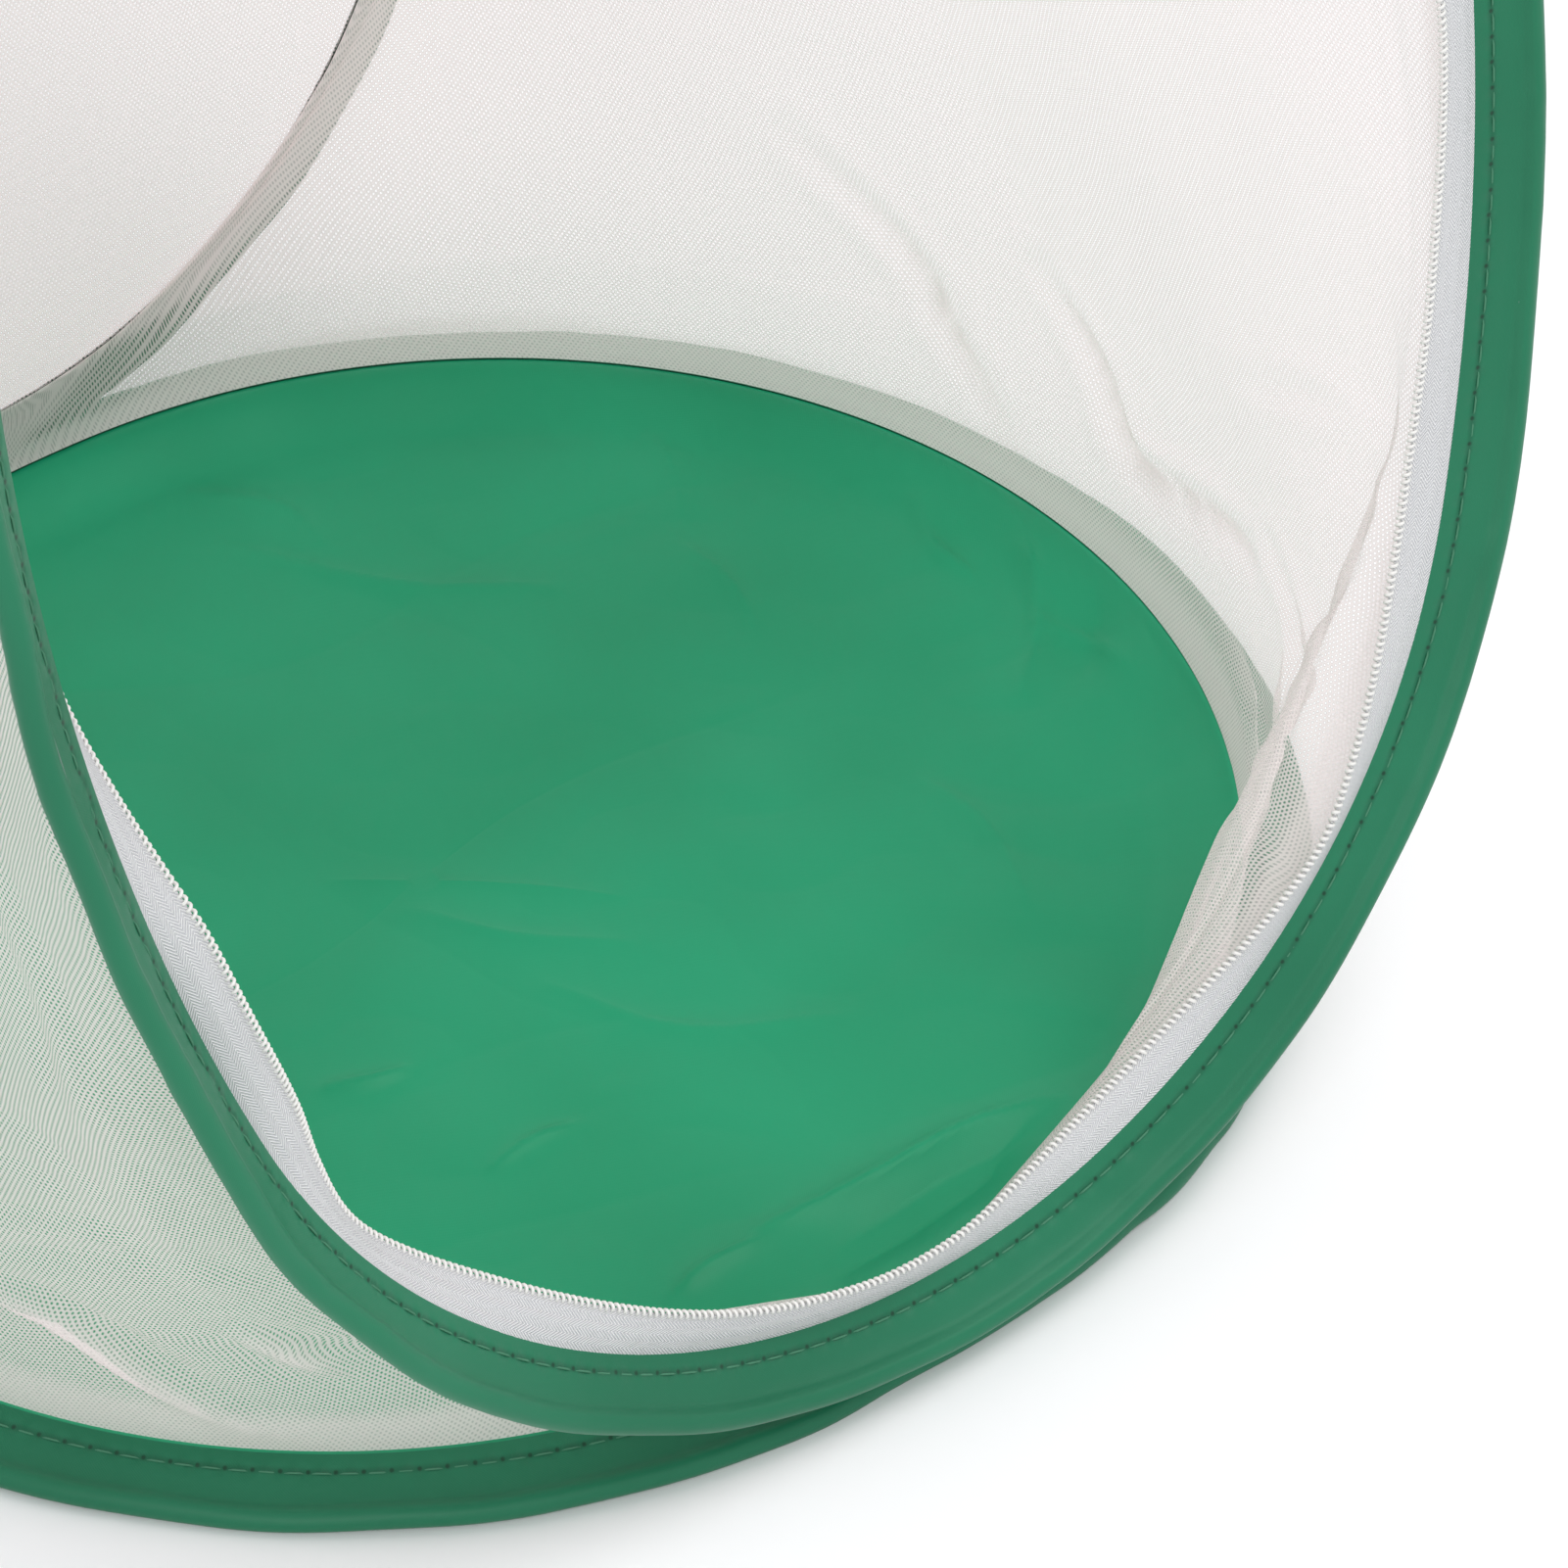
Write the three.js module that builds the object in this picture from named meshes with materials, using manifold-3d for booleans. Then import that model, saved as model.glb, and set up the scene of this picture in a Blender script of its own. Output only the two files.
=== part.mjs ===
// Pop-up insect cage: four spring-wire loops in green fabric sleeves, sewn seam to seam into a
// ring that folds flat, with a green floor, white mesh walls and a zipped mesh door flap.
// Millimetres, +Z up. X runs along the front loop and the front faces -Y. The origin lies on the
// ground under the middle of the base loop. The door flap is stored open, thrown over the roof.
import * as THREE from "three";
import { mergeVertices } from "three/addons/utils/BufferGeometryUtils.js";
import Module from "manifold-3d";

const wasm = await Module();
wasm.setup();

// Base loop and roof loop: seam outline, an oval of four arcs
const base_half_width = 182;
const base_half_depth = 167;
const base_front_radius = 430;

// Front loop and back loop: seam outline, an upright oval of four arcs
const loop_half_width = 170;
const loop_half_height = 245;
const loop_side_radius = 447;
const loop_lean = THREE.MathUtils.degToRad(12.3);

// How far outside the base seam each upright loop's own seam stands
const front_hinge_step = 9.6;
const back_hinge_step = 1;

// Sleeve: a folded strip of fabric with the wire in the bulge at its outer edge
const sleeve_width = 16;
const sleeve_bulge_radius = 2.7;
const sleeve_fabric = 0.5;
const sleeve_slit = 0.3;
const sleeve_neck = 3.2;
const base_flare = THREE.MathUtils.degToRad(19.4);
const roof_flare = THREE.MathUtils.degToRad(50);
const upright_flare = THREE.MathUtils.degToRad(27.3);
const upright_flare_swing = THREE.MathUtils.degToRad(13.4);

// Spring wire, and the crimped ferrule that joins its two ends
const wire_radius = 0.9;
const wire_end_gap = 1;
const ferrule_length = 16;
const ferrule_wall = 0.3;
const ferrule_clearance = 0.3;

// Fabric panels
const panel_thickness = 0.6;
const panel_gap = 0.5;
const wall_seam_gap = 0.9;
const wall_split_gap = 0.4;

// End walls: how far they swell out over the base seam. The swell is full between two distances
// behind the base's front edge and between two heights above its seam, and fades out beyond them.
const wall_swell = 27;
const wall_swell_turn = THREE.MathUtils.degToRad(30);
const wall_swell_start = 21;
const wall_swell_front = 61;
const wall_swell_back = 167;
const wall_swell_end = 257;
const wall_swell_low = 80;
const wall_swell_high = 90;
const wall_swell_top = 240;

// Floor and hinges
const floor_slope_width = 22;
const hinge_clearance = 0.35;

// Zip: coil, tape and the narrow gap between the two closed halves
const tape_width = 9.7;
const coil_width = 2.2;
const coil_height = 2.2;
const coil_pair_gap = 2.2;
const zip_gap = 0.3;
const door_tape_width = 9;

// Zip ends and slider parking, in steps of the outline away from the crown
const frame_zip_steps = 3;
const slider_park_steps = 3.5;
const door_zip_steps = 4;

// Door flap: its narrow neck is sewn along the crown of the front loop
const door_neck_half_width = 45;
const door_bend_rise = 12;
const door_crown_clearance = 2.2;
const door_rest_gap = 0.3;

// Zip sliders and their pull tabs
const slider_length = 10;
const slider_width = 9.4;
const slider_plate = 0.8;
const slider_coil_clearance = 0.4;
const slider_post_width = 0.9;
const slider_post_length = 3;
const slider_post_shift = 3;
const slider_shift = 0.1;
const bridge_length = 8;
const bridge_leg = 1;
const bridge_width = 1.2;
const bridge_height = 2.7;
const bridge_bar = 0.8;
const pull_length = 24;
const pull_width = 5.2;
const pull_thickness = 0.9;
const pull_slot_width = 2;
const pull_slot_length = 5;
const pull_bar = 1;
const pull_pivot_shift = 0.7;
const pull_droop = THREE.MathUtils.degToRad(2);

// Zip end stops
const stop_length = 3;
const stop_wall = 0.8;

// Facets: steps along each quarter of an outline, and sides of round sections
const base_tight_steps = 8;
const base_flat_steps = 1;
const loop_tight_steps = 8;
const loop_flat_steps = 2;
const round_sides = 6;
const wall_relax_rounds = 800;
const bulge_angles = [105, 35, -35, -105].map(THREE.MathUtils.degToRad);

// How far a cut runs past the piece that it cuts
const cut_overrun = 2;

// Materials
function cloth(color, roughness) {
  return new THREE.MeshStandardMaterial({ color, roughness, metalness: 0, side: THREE.DoubleSide });
}
const green_nylon = () => cloth(0x2f936b, 0.55);
const green_sleeve = () => cloth(0x2f7f5c, 0.5);
const white_mesh = () => cloth(0xe9e8e4, 0.8);
const white_tape = () => cloth(0xdcdae0, 0.75);
const white_coil = () => cloth(0xf0eeea, 0.4);
const spring_steel = () => new THREE.MeshStandardMaterial({ color: 0x8d9094, roughness: 0.35, metalness: 0.9 });
const white_enamel = () => new THREE.MeshStandardMaterial({ color: 0xe4e3e2, roughness: 0.35, metalness: 0.4 });

// A closed body from its vertices and triangles, turned so that its faces point out
function closedGeometry(vertices, triangles) {
  let volume = 0;
  for (const [a, b, c] of triangles)
    volume += vertices[a].dot(new THREE.Vector3().crossVectors(vertices[b], vertices[c]));
  const order = volume < 0 ? triangles.map(([a, b, c]) => [a, c, b]) : triangles;
  const geometry = new THREE.BufferGeometry();
  geometry.setAttribute(
    "position",
    new THREE.Float32BufferAttribute(vertices.flatMap((v) => v.toArray()), 3),
  );
  geometry.setIndex(order.flat());
  geometry.computeVertexNormals();
  return geometry;
}

// Solids for joining and cutting
function toSolid(geometry) {
  const bare = geometry.clone();
  bare.deleteAttribute("normal");
  bare.deleteAttribute("uv");
  const merged = mergeVertices(bare, wire_end_gap / 1000);
  return new wasm.Manifold(
    new wasm.Mesh({
      numProp: 3,
      vertProperties: merged.attributes.position.array,
      triVerts: new Uint32Array(merged.index.array),
    }),
  );
}

function fromSolid(solid) {
  const mesh = solid.getMesh();
  const geometry = new THREE.BufferGeometry();
  geometry.setAttribute("position", new THREE.BufferAttribute(mesh.vertProperties, 3));
  geometry.setIndex(new THREE.BufferAttribute(mesh.triVerts, 1));
  geometry.computeVertexNormals();
  return geometry;
}

function named(name, geometry, material) {
  const mesh = new THREE.Mesh(geometry, material);
  mesh.name = name;
  return mesh;
}

// Outline of four arcs, as the angles from its long axis at which it has stations. An angle is
// the way that the outline faces there, so an offset has the same four centres.
function ovalOutline(half_long, half_short, flat_radius, tight_steps, flat_steps) {
  const tight_radius =
    (2 * half_short * flat_radius - half_short ** 2 - half_long ** 2) / (2 * (flat_radius - half_long));
  const tight_centre = half_long - tight_radius;
  const meeting = Math.atan2(flat_radius - half_short, tight_centre);
  const quarter = [];
  for (let i = 0; i < tight_steps; i++) quarter.push((meeting * i) / tight_steps);
  for (let i = 0; i < flat_steps; i++)
    quarter.push(meeting + ((Math.PI / 2 - meeting) * i) / flat_steps);
  const mirrored = [Math.PI / 2, ...quarter.slice(1).reverse()];
  const angles = [
    ...quarter,
    ...mirrored.map((a) => (a === Math.PI / 2 ? a : Math.PI - a)),
    ...quarter.map((a) => Math.PI + a),
    ...mirrored.map((a) => (a === Math.PI / 2 ? Math.PI + a : 2 * Math.PI - a)),
  ];
  return { half_short, flat_radius, tight_radius, tight_centre, meeting, angles };
}

// A station in the loop's plane: a point of the seam, and the way that the seam faces there.
// An upright outline has its long axis along y, and its angles start from the crown.
function station(outline, upright, along) {
  const across = Math.abs(Math.sin(along));
  const turn = Math.atan2(across, Math.abs(Math.cos(along)));
  const tight = turn < outline.meeting;
  const radius = tight ? outline.tight_radius : outline.flat_radius;
  const long_centre = tight ? outline.tight_centre : 0;
  const short_centre = tight ? 0 : outline.half_short - outline.flat_radius;
  const long = Math.sign(Math.cos(along)) * (long_centre + radius * Math.cos(turn));
  const short = Math.sign(Math.sin(along)) * (short_centre + radius * across);
  return upright
    ? { x: short, y: long, facing_x: Math.sin(along), facing_y: Math.cos(along) }
    : { x: long, y: short, facing_x: Math.cos(along), facing_y: Math.sin(along) };
}

// A point at a distance outward in the loop's plane, and at a height off that plane
const pointAt = (s, outward, height) =>
  new THREE.Vector3(s.x + s.facing_x * outward, s.y + s.facing_y * outward, height);

function mixStations(a, b, share) {
  const mixed = {};
  for (const key of Object.keys(a)) mixed[key] = a[key] + (b[key] - a[key]) * share;
  return mixed;
}

// A band or tube: one section of [outward, height] points carried from station to station
function sweep(stations, section, closed) {
  const rings = stations.map((s) => section(s).map(([outward, height]) => pointAt(s, outward, height)));
  const size = rings[0].length;
  const triangles = [];
  const ring_count = closed ? rings.length : rings.length - 1;
  for (let i = 0; i < ring_count; i++) {
    const here = i * size;
    const next = ((i + 1) % rings.length) * size;
    for (let j = 0; j < size; j++) {
      const k = (j + 1) % size;
      triangles.push([here + j, here + k, next + k], [here + j, next + k, next + j]);
    }
  }
  if (!closed) {
    const last = (rings.length - 1) * size;
    for (let j = 1; j < size - 1; j++) {
      triangles.push([0, j + 1, j], [last, last + j, last + j + 1]);
    }
  }
  return closedGeometry(rings.flat(), triangles);
}

// A thin sheet from rows of points, with the half-thickness at each. The rows of a wrapped sheet
// are rings, outermost first, and a fan closes its middle.
function sheet(rows, lift, wrapped) {
  const columns = rows[0].length;
  const last = rows.length - 1;
  const upper = rows.flatMap((row, i) => row.map((p, j) => p.clone().add(lift(i, j))));
  const lower = rows.flatMap((row, i) => row.map((p, j) => p.clone().sub(lift(i, j))));
  const half = upper.length;
  const vertices = [...upper, ...lower];
  const triangles = [];
  const pair = (a, b, c) => triangles.push([a, b, c], [a + half, c + half, b + half]);
  const rim = (a, b) => triangles.push([a, b, b + half], [a, b + half, a + half]);
  const at = (i, j) => i * columns + (j % columns);
  const column_count = wrapped ? columns : columns - 1;
  for (let i = 0; i < last; i++) {
    for (let j = 0; j < column_count; j++) {
      pair(at(i, j), at(i, j + 1), at(i + 1, j + 1));
      pair(at(i, j), at(i + 1, j + 1), at(i + 1, j));
    }
  }
  for (let j = 0; j < column_count; j++) rim(at(0, j + 1), at(0, j));
  if (wrapped) {
    const middle = new THREE.Vector3();
    rows[last].forEach((p) => middle.addScaledVector(p, 1 / columns));
    const top = vertices.length;
    vertices.push(middle.clone().add(lift(last, 0)), middle.clone().sub(lift(last, 0)));
    for (let j = 0; j < columns; j++) {
      triangles.push([at(last, j), at(last, j + 1), top]);
      triangles.push([at(last, j) + half, top + 1, at(last, j + 1) + half]);
    }
    return closedGeometry(vertices, triangles);
  }
  for (let j = 0; j < column_count; j++) rim(at(last, j), at(last, j + 1));
  for (let i = 0; i < last; i++) {
    rim(at(i, 0), at(i + 1, 0));
    rim(at(i + 1, column_count), at(i, column_count));
  }
  return closedGeometry(vertices, triangles);
}

// Outlines and the places of the four loops

const base_outline = ovalOutline(
  base_half_width, base_half_depth, base_front_radius, base_tight_steps, base_flat_steps,
);
const upright_outline = ovalOutline(
  loop_half_height, loop_half_width, loop_side_radius, loop_tight_steps, loop_flat_steps,
);
const base_stations = base_outline.angles.map((a) => station(base_outline, false, a));
const upright_stations = upright_outline.angles.map((a) => station(upright_outline, true, a));

const wire_seat = sleeve_width - sleeve_bulge_radius;
const sleeve_skin = sleeve_slit / 2 + sleeve_fabric;
const base_seam_height = sleeve_bulge_radius + wire_seat * Math.sin(base_flare);
const loop_rise = 2 * loop_half_height * Math.cos(loop_lean);
const loop_run = 2 * loop_half_height * Math.sin(loop_lean);

// An upright loop's sleeve swings clear of the base sleeve below it
function hingeHeight(step) {
  const reach = sleeve_width + sleeve_skin + hinge_clearance;
  return base_seam_height - step * Math.tan(base_flare) + reach / Math.cos(base_flare);
}
const front_hinge = new THREE.Vector3(0, -base_half_depth - front_hinge_step, hingeHeight(front_hinge_step));
const back_hinge = new THREE.Vector3(0, base_half_depth + back_hinge_step, hingeHeight(back_hinge_step));

const base_loop = new THREE.Group();
base_loop.position.z = base_seam_height;

const front_loop = new THREE.Group();
front_loop.rotation.x = Math.PI / 2 - loop_lean;
front_loop.position.set(0, front_hinge.y + loop_run / 2, front_hinge.z + loop_rise / 2);

const back_loop = new THREE.Group();
back_loop.rotation.set(Math.PI / 2 - loop_lean, Math.PI, 0);
back_loop.position.set(0, back_hinge.y + loop_run / 2, back_hinge.z + loop_rise / 2);

// The roof meets the upright loops as the base does, turned over end for end
const roof_loop = new THREE.Group();
roof_loop.position.set(
  0,
  loop_run + back_hinge_step - front_hinge_step,
  front_hinge.z + loop_rise + back_hinge.z - base_seam_height,
);

// Wire, ferrule and sleeve of each loop

function sleeveSection(flare) {
  const bulge = (radius) =>
    bulge_angles.map((a) => [wire_seat + radius * Math.cos(a), radius * Math.sin(a)]);
  const slit = sleeve_slit / 2;
  const neck = wire_seat - sleeve_neck;
  const inner_neck = neck + sleeve_slit;
  const section = [
    [sleeve_slit, sleeve_skin],
    [neck, sleeve_skin],
    ...bulge(sleeve_bulge_radius),
    [neck, -sleeve_skin],
    [sleeve_slit, -sleeve_skin],
    [sleeve_slit, -slit],
    [inner_neck, -slit],
    ...bulge(sleeve_bulge_radius - sleeve_fabric).reverse(),
    [inner_neck, slit],
    [sleeve_slit, slit],
  ];
  const cos = Math.cos(flare);
  const sin = Math.sin(flare);
  return section.map(([s, t]) => [s * cos - t * sin, s * sin + t * cos]);
}

function roundSection(flare, radius) {
  const section = [];
  for (let i = 0; i < round_sides; i++) {
    const turn = flare + (2 * Math.PI * i) / round_sides;
    section.push([
      wire_seat * Math.cos(flare) + radius * Math.cos(turn),
      wire_seat * Math.sin(flare) + radius * Math.sin(turn),
    ]);
  }
  return section;
}

// The wire starts and ends inside the ferrule, at the station with the given index
function addLoop(group, name, stations, flareAt, joint_index) {
  const tube = (run, radius) => sweep(run, (s) => roundSection(flareAt(s), radius), false);
  const round = [...stations.slice(joint_index), ...stations.slice(0, joint_index)];
  const first = round[0];
  const next = round[1];
  const before = round[round.length - 1];
  const step = pointAt(first, wire_seat, 0).distanceTo(pointAt(next, wire_seat, 0));
  const beside = (length, neighbour) => mixStations(first, neighbour, length / step);
  const piece = (length) => [beside(length / 2, before), first, beside(length / 2, next)];

  const wire_run = [beside(wire_end_gap / 2, next), ...round.slice(1), beside(wire_end_gap / 2, before)];
  const bore_radius = wire_radius + ferrule_clearance;
  const shell = toSolid(tube(piece(ferrule_length), bore_radius + ferrule_wall));
  const bore = toSolid(tube(piece(ferrule_length + cut_overrun), bore_radius));
  group.add(
    named(name + "_wire", tube(wire_run, wire_radius), spring_steel()),
    named(name + "_ferrule", fromSolid(shell.subtract(bore)), spring_steel()),
    named(name + "_sleeve", sweep(stations, (s) => sleeveSection(flareAt(s)), true), green_sleeve()),
  );
}

const front_flare = (s) => upright_flare - upright_flare_swing * s.facing_x;
addLoop(base_loop, "base", base_stations, () => -base_flare, base_tight_steps / 2);
addLoop(front_loop, "front", upright_stations, front_flare, loop_tight_steps / 2);
addLoop(back_loop, "back", upright_stations, () => upright_flare, loop_tight_steps / 2);
addLoop(roof_loop, "roof", base_stations, () => roof_flare, base_tight_steps / 2);

// Floor, roof and back panels

const half_panel = new THREE.Vector3(0, 0, panel_thickness / 2);
const ring = (stations, outward, height) => stations.map((s) => pointAt(s, outward, height));
const flatPanel = (stations) => sheet([ring(stations, -panel_gap, 0)], () => half_panel, true);

const floor_drop = base_seam_height - panel_thickness / 2;
const floor_rows = [
  ring(base_stations, -panel_gap, 0),
  ring(base_stations, -panel_gap - floor_slope_width, -floor_drop),
];
base_loop.add(named("floor_panel", sheet(floor_rows, () => half_panel, true), green_nylon()));
roof_loop.add(named("roof_mesh", flatPanel(base_stations), white_mesh()));
back_loop.add(named("back_mesh", flatPanel(upright_stations), white_mesh()));

// End walls: a taut sheet between the left or right halves of all four seams

function halfSeam(loop, stations, height, side, start) {
  loop.updateMatrix();
  const turned = [...stations.slice(start), ...stations.slice(0, start)];
  const points = ring(turned, -panel_gap, height).map((p) => p.applyMatrix4(loop.matrix));
  const half = points.length / 2;
  const one = points.slice(0, half + 1);
  const other = [points[0], ...points.slice(half).reverse()];
  const chosen = one[half / 2].x * side > 0 ? one : other;
  for (const end of [chosen[0], chosen[half]]) end.x = (side * wall_split_gap) / 2;
  return chosen;
}

function swellShare(p) {
  const behind = p.y + base_half_depth;
  const above = p.z - base_seam_height;
  const rising = THREE.MathUtils.smoothstep;
  const upright = Math.sin((Math.PI / 2) * THREE.MathUtils.clamp(above / wall_swell_low, 0, 1));
  return upright
    * rising(behind, wall_swell_start, wall_swell_front)
    * (1 - rising(behind, wall_swell_back, wall_swell_end))
    * (1 - rising(above, wall_swell_high, wall_swell_top));
}

function endWall(side) {
  const base_front = (3 * base_stations.length) / 4;
  const bottom = halfSeam(base_loop, base_stations, wall_seam_gap, side, base_front);
  const top = halfSeam(roof_loop, base_stations, -wall_seam_gap, side, base_front);
  const foot = upright_stations.length / 2;
  const front = halfSeam(front_loop, upright_stations, -wall_seam_gap, side, foot);
  const back = halfSeam(back_loop, upright_stations, -wall_seam_gap, side, foot);
  const row_count = front.length;
  const lines = [front, ...bottom.map((p, i) => front.map((q, j) =>
    p.clone().lerp(top[i], j / (row_count - 1)))), back];
  const column_count = lines.length;
  // Each point is drawn to its neighbours. In the second half of the rounds the pull is a taut
  // cloth's: the width of the strip that joins the two points, over its length.
  for (let round = 0; round < wall_relax_rounds; round++) {
    const taut = round >= wall_relax_rounds / 2;
    for (let i = 1; i < column_count - 1; i++) {
      for (let j = 1; j < row_count - 1; j++) {
        const here = lines[i][j];
        const sides = [[lines[i - 1][j], lines[i + 1][j]], [lines[i][j - 1], lines[i][j + 1]]];
        const widths = sides.map(([a, b]) => a.distanceTo(b)).reverse();
        const moved = new THREE.Vector3();
        let pull_sum = 0;
        sides.forEach((pair, k) => pair.forEach((neighbour) => {
          const pull = taut ? widths[k] / here.distanceTo(neighbour) : 1;
          moved.addScaledVector(neighbour, pull);
          pull_sum += pull;
        }));
        lines[i][j] = moved.divideScalar(pull_sum);
      }
    }
  }
  const outward = new THREE.Vector3(side * Math.cos(wall_swell_turn), -Math.sin(wall_swell_turn), 0);
  for (const line of lines.slice(1, -1)) {
    for (const p of line.slice(1, -1)) p.addScaledVector(outward, wall_swell * swellShare(p));
  }
  const clip = (k, count) => Math.min(Math.max(k, 0), count - 1);
  const lift = (i, j) => {
    const at = (a, b) => lines[clip(a, column_count)][clip(b, row_count)].clone();
    const along = at(i + 1, j).sub(at(i - 1, j));
    const up = at(i, j + 1).sub(at(i, j - 1));
    return along.cross(up).setLength(panel_thickness / 2);
  };
  return sheet(lines, lift, false);
}

// The base group's own place is taken off again, because the walls are drawn from the ground
const walls = new THREE.Group();
walls.add(named("left_end_mesh", endWall(-1), white_mesh()));
walls.add(named("right_end_mesh", endWall(1), white_mesh()));

// Zip of the door opening: tape and coil on the front seam, with a stop at each end

const frame_coil_edge = tape_width - coil_width / 2;
const pair_middle = tape_width + coil_width / 2 + coil_pair_gap / 2;
const door_coil_edge = pair_middle + coil_pair_gap / 2;
const door_tape_edge = door_coil_edge + coil_width + zip_gap;
const door_mesh_edge = door_tape_edge + door_tape_width + zip_gap;
const station_step = upright_outline.meeting / loop_tight_steps;

const bandSection = (start, end, thickness) => () => [
  [-start, thickness / 2],
  [-start, -thickness / 2],
  [-end, -thickness / 2],
  [-end, thickness / 2],
];
const coilSection = (start) => () => [
  [-start, 0],
  [-start - coil_width / 4, -coil_height / 2],
  [-start - (3 * coil_width) / 4, -coil_height / 2],
  [-start - coil_width, 0],
  [-start - (3 * coil_width) / 4, coil_height / 2],
  [-start - coil_width / 4, coil_height / 2],
];

const frame_zip_run = upright_stations.slice(frame_zip_steps, upright_stations.length - frame_zip_steps + 1);
const door_zip_run = upright_stations.slice(door_zip_steps, upright_stations.length - door_zip_steps + 1);
front_loop.add(
  named(
    "frame_zip_tape",
    sweep(frame_zip_run, bandSection(panel_gap, frame_coil_edge - zip_gap, panel_thickness), false),
    white_tape(),
  ),
  named("frame_zip_coil", sweep(frame_zip_run, coilSection(frame_coil_edge), false), white_coil()),
);

// A frame that turns about the centre of the crown's arc: +y outward and +x down the right side
function crownFrame(side, angle, distance) {
  const pivot = new THREE.Group();
  pivot.position.y = upright_outline.tight_centre;
  pivot.rotation.z = -side * angle;
  const place = new THREE.Group();
  place.position.y = upright_outline.tight_radius - distance;
  place.scale.x = 1;
  pivot.add(place);
  front_loop.add(pivot);
  return place;
}

function block(x_size, y_size, z_size, x, y, z) {
  return new THREE.BoxGeometry(x_size, y_size, z_size).translate(x, y, z);
}

const stop_angle =
  frame_zip_steps * station_step - (stop_length / 2 + zip_gap) / (upright_outline.tight_radius - tape_width);
const stop_size = coil_width + stop_wall;
for (const [name, side] of [["left_top_stop", -1], ["right_top_stop", 1]]) {
  const stop = block(stop_length, stop_size, coil_height + stop_wall, 0, 0, 0);
  crownFrame(side, stop_angle, tape_width).add(named(name, stop, white_enamel()));
}

// Sliders, each with a bridge that holds its pull tab

const plate_height = coil_height / 2 + slider_coil_clearance;
const plate_top = plate_height + slider_plate;
const bridge_y = pair_middle - tape_width - slider_shift;
const bridge_span = bridge_height - bridge_bar;
const pull_pivot_height = plate_top + bridge_span / 2;

function slider(side) {
  const plate = (z) => block(slider_length, slider_width, slider_plate, 0, 0, z);
  const leg = (x) => block(bridge_leg, bridge_width, bridge_height + slider_plate / 2, x, bridge_y,
    plate_top + bridge_height / 2 - slider_plate / 4);
  const bar = block(bridge_length, bridge_width, bridge_bar, 0, bridge_y,
    plate_top + bridge_height - bridge_bar / 2);
  const post = block(slider_post_length, slider_post_width, 2 * plate_height + slider_plate,
    -side * slider_post_shift, 0, 0);
  const leg_x = (bridge_length - bridge_leg) / 2;
  const parts = [
    plate(plate_height + slider_plate / 2),
    plate(-plate_height - slider_plate / 2),
    post,
    leg(leg_x),
    leg(-leg_x),
    bar,
  ];
  return fromSolid(parts.map(toSolid).reduce((a, b) => a.add(b)));
}

function pullTab(side) {
  const body = block(pull_length, pull_width, pull_thickness, side * (pull_length - pull_bar) / 2, 0, 0);
  const slot_middle = side * (pull_bar + pull_slot_length) / 2;
  const slot = block(pull_slot_length, pull_slot_width, pull_thickness + cut_overrun, slot_middle, 0, 0);
  return fromSolid(toSolid(body).subtract(toSolid(slot)));
}

for (const [name, side] of [["left", -1], ["right", 1]]) {
  const place = crownFrame(side, slider_park_steps * station_step, pair_middle);
  const hinge = new THREE.Group();
  hinge.name = name + "_pull_hinge";
  hinge.position.set(side * pull_pivot_shift, bridge_y, pull_pivot_height);
  hinge.rotation.y = side * pull_droop;
  hinge.add(named(name + "_pull", pullTab(side), white_enamel()));
  place.add(named(name + "_slider", slider(side), white_enamel()), hinge);
}

// Door flap, drawn shut in the plane of the front loop and then thrown open over the roof

front_loop.updateMatrix();
const roof_front_bulge = new THREE.Vector3(
  0,
  roof_loop.position.y - base_half_depth - wire_seat * Math.cos(roof_flare),
  roof_loop.position.z + wire_seat * Math.sin(roof_flare),
);
const roof_back_bulge = roof_front_bulge.clone();
roof_back_bulge.y = 2 * roof_loop.position.y - roof_front_bulge.y;
const crown_offset = (sleeve_bulge_radius + door_crown_clearance) / Math.SQRT2;
const door_hinge_point = roof_front_bulge.clone().add(new THREE.Vector3(0, -crown_offset, crown_offset));
const shut_hinge = door_hinge_point.clone().applyMatrix4(front_loop.matrix.clone().invert());

// Open, the flap slopes down to the sleeve at the back of the roof
const reach_back = roof_back_bulge.y - door_hinge_point.y;
const reach_down = roof_back_bulge.z - door_hinge_point.z;
const flap_clearance = shut_hinge.z - panel_thickness / 2 - sleeve_bulge_radius - door_rest_gap;
const flap_slope =
  Math.asin(flap_clearance / Math.hypot(reach_back, reach_down)) - Math.atan2(reach_down, reach_back);
const door_swing = (3 * Math.PI) / 2 - loop_lean + flap_slope;

const bend_y = loop_half_height - door_mesh_edge - door_bend_rise;
const neck_length = Math.hypot(shut_hinge.z, shut_hinge.y - bend_y);
const neck_slant = Math.atan2(shut_hinge.z, shut_hinge.y - bend_y);
const door_ring = [
  ...ring(door_zip_run, -door_mesh_edge, 0),
  new THREE.Vector3(-door_neck_half_width, bend_y, 0),
  new THREE.Vector3(door_neck_half_width, bend_y, 0),
];
const neck = block(2 * door_neck_half_width, neck_length + cut_overrun, panel_thickness, 0,
  (neck_length - cut_overrun) / 2, 0);
neck.rotateX(neck_slant).translate(0, bend_y, 0);
const door_panel = toSolid(sheet([door_ring], () => half_panel, true)).add(toSolid(neck));

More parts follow.
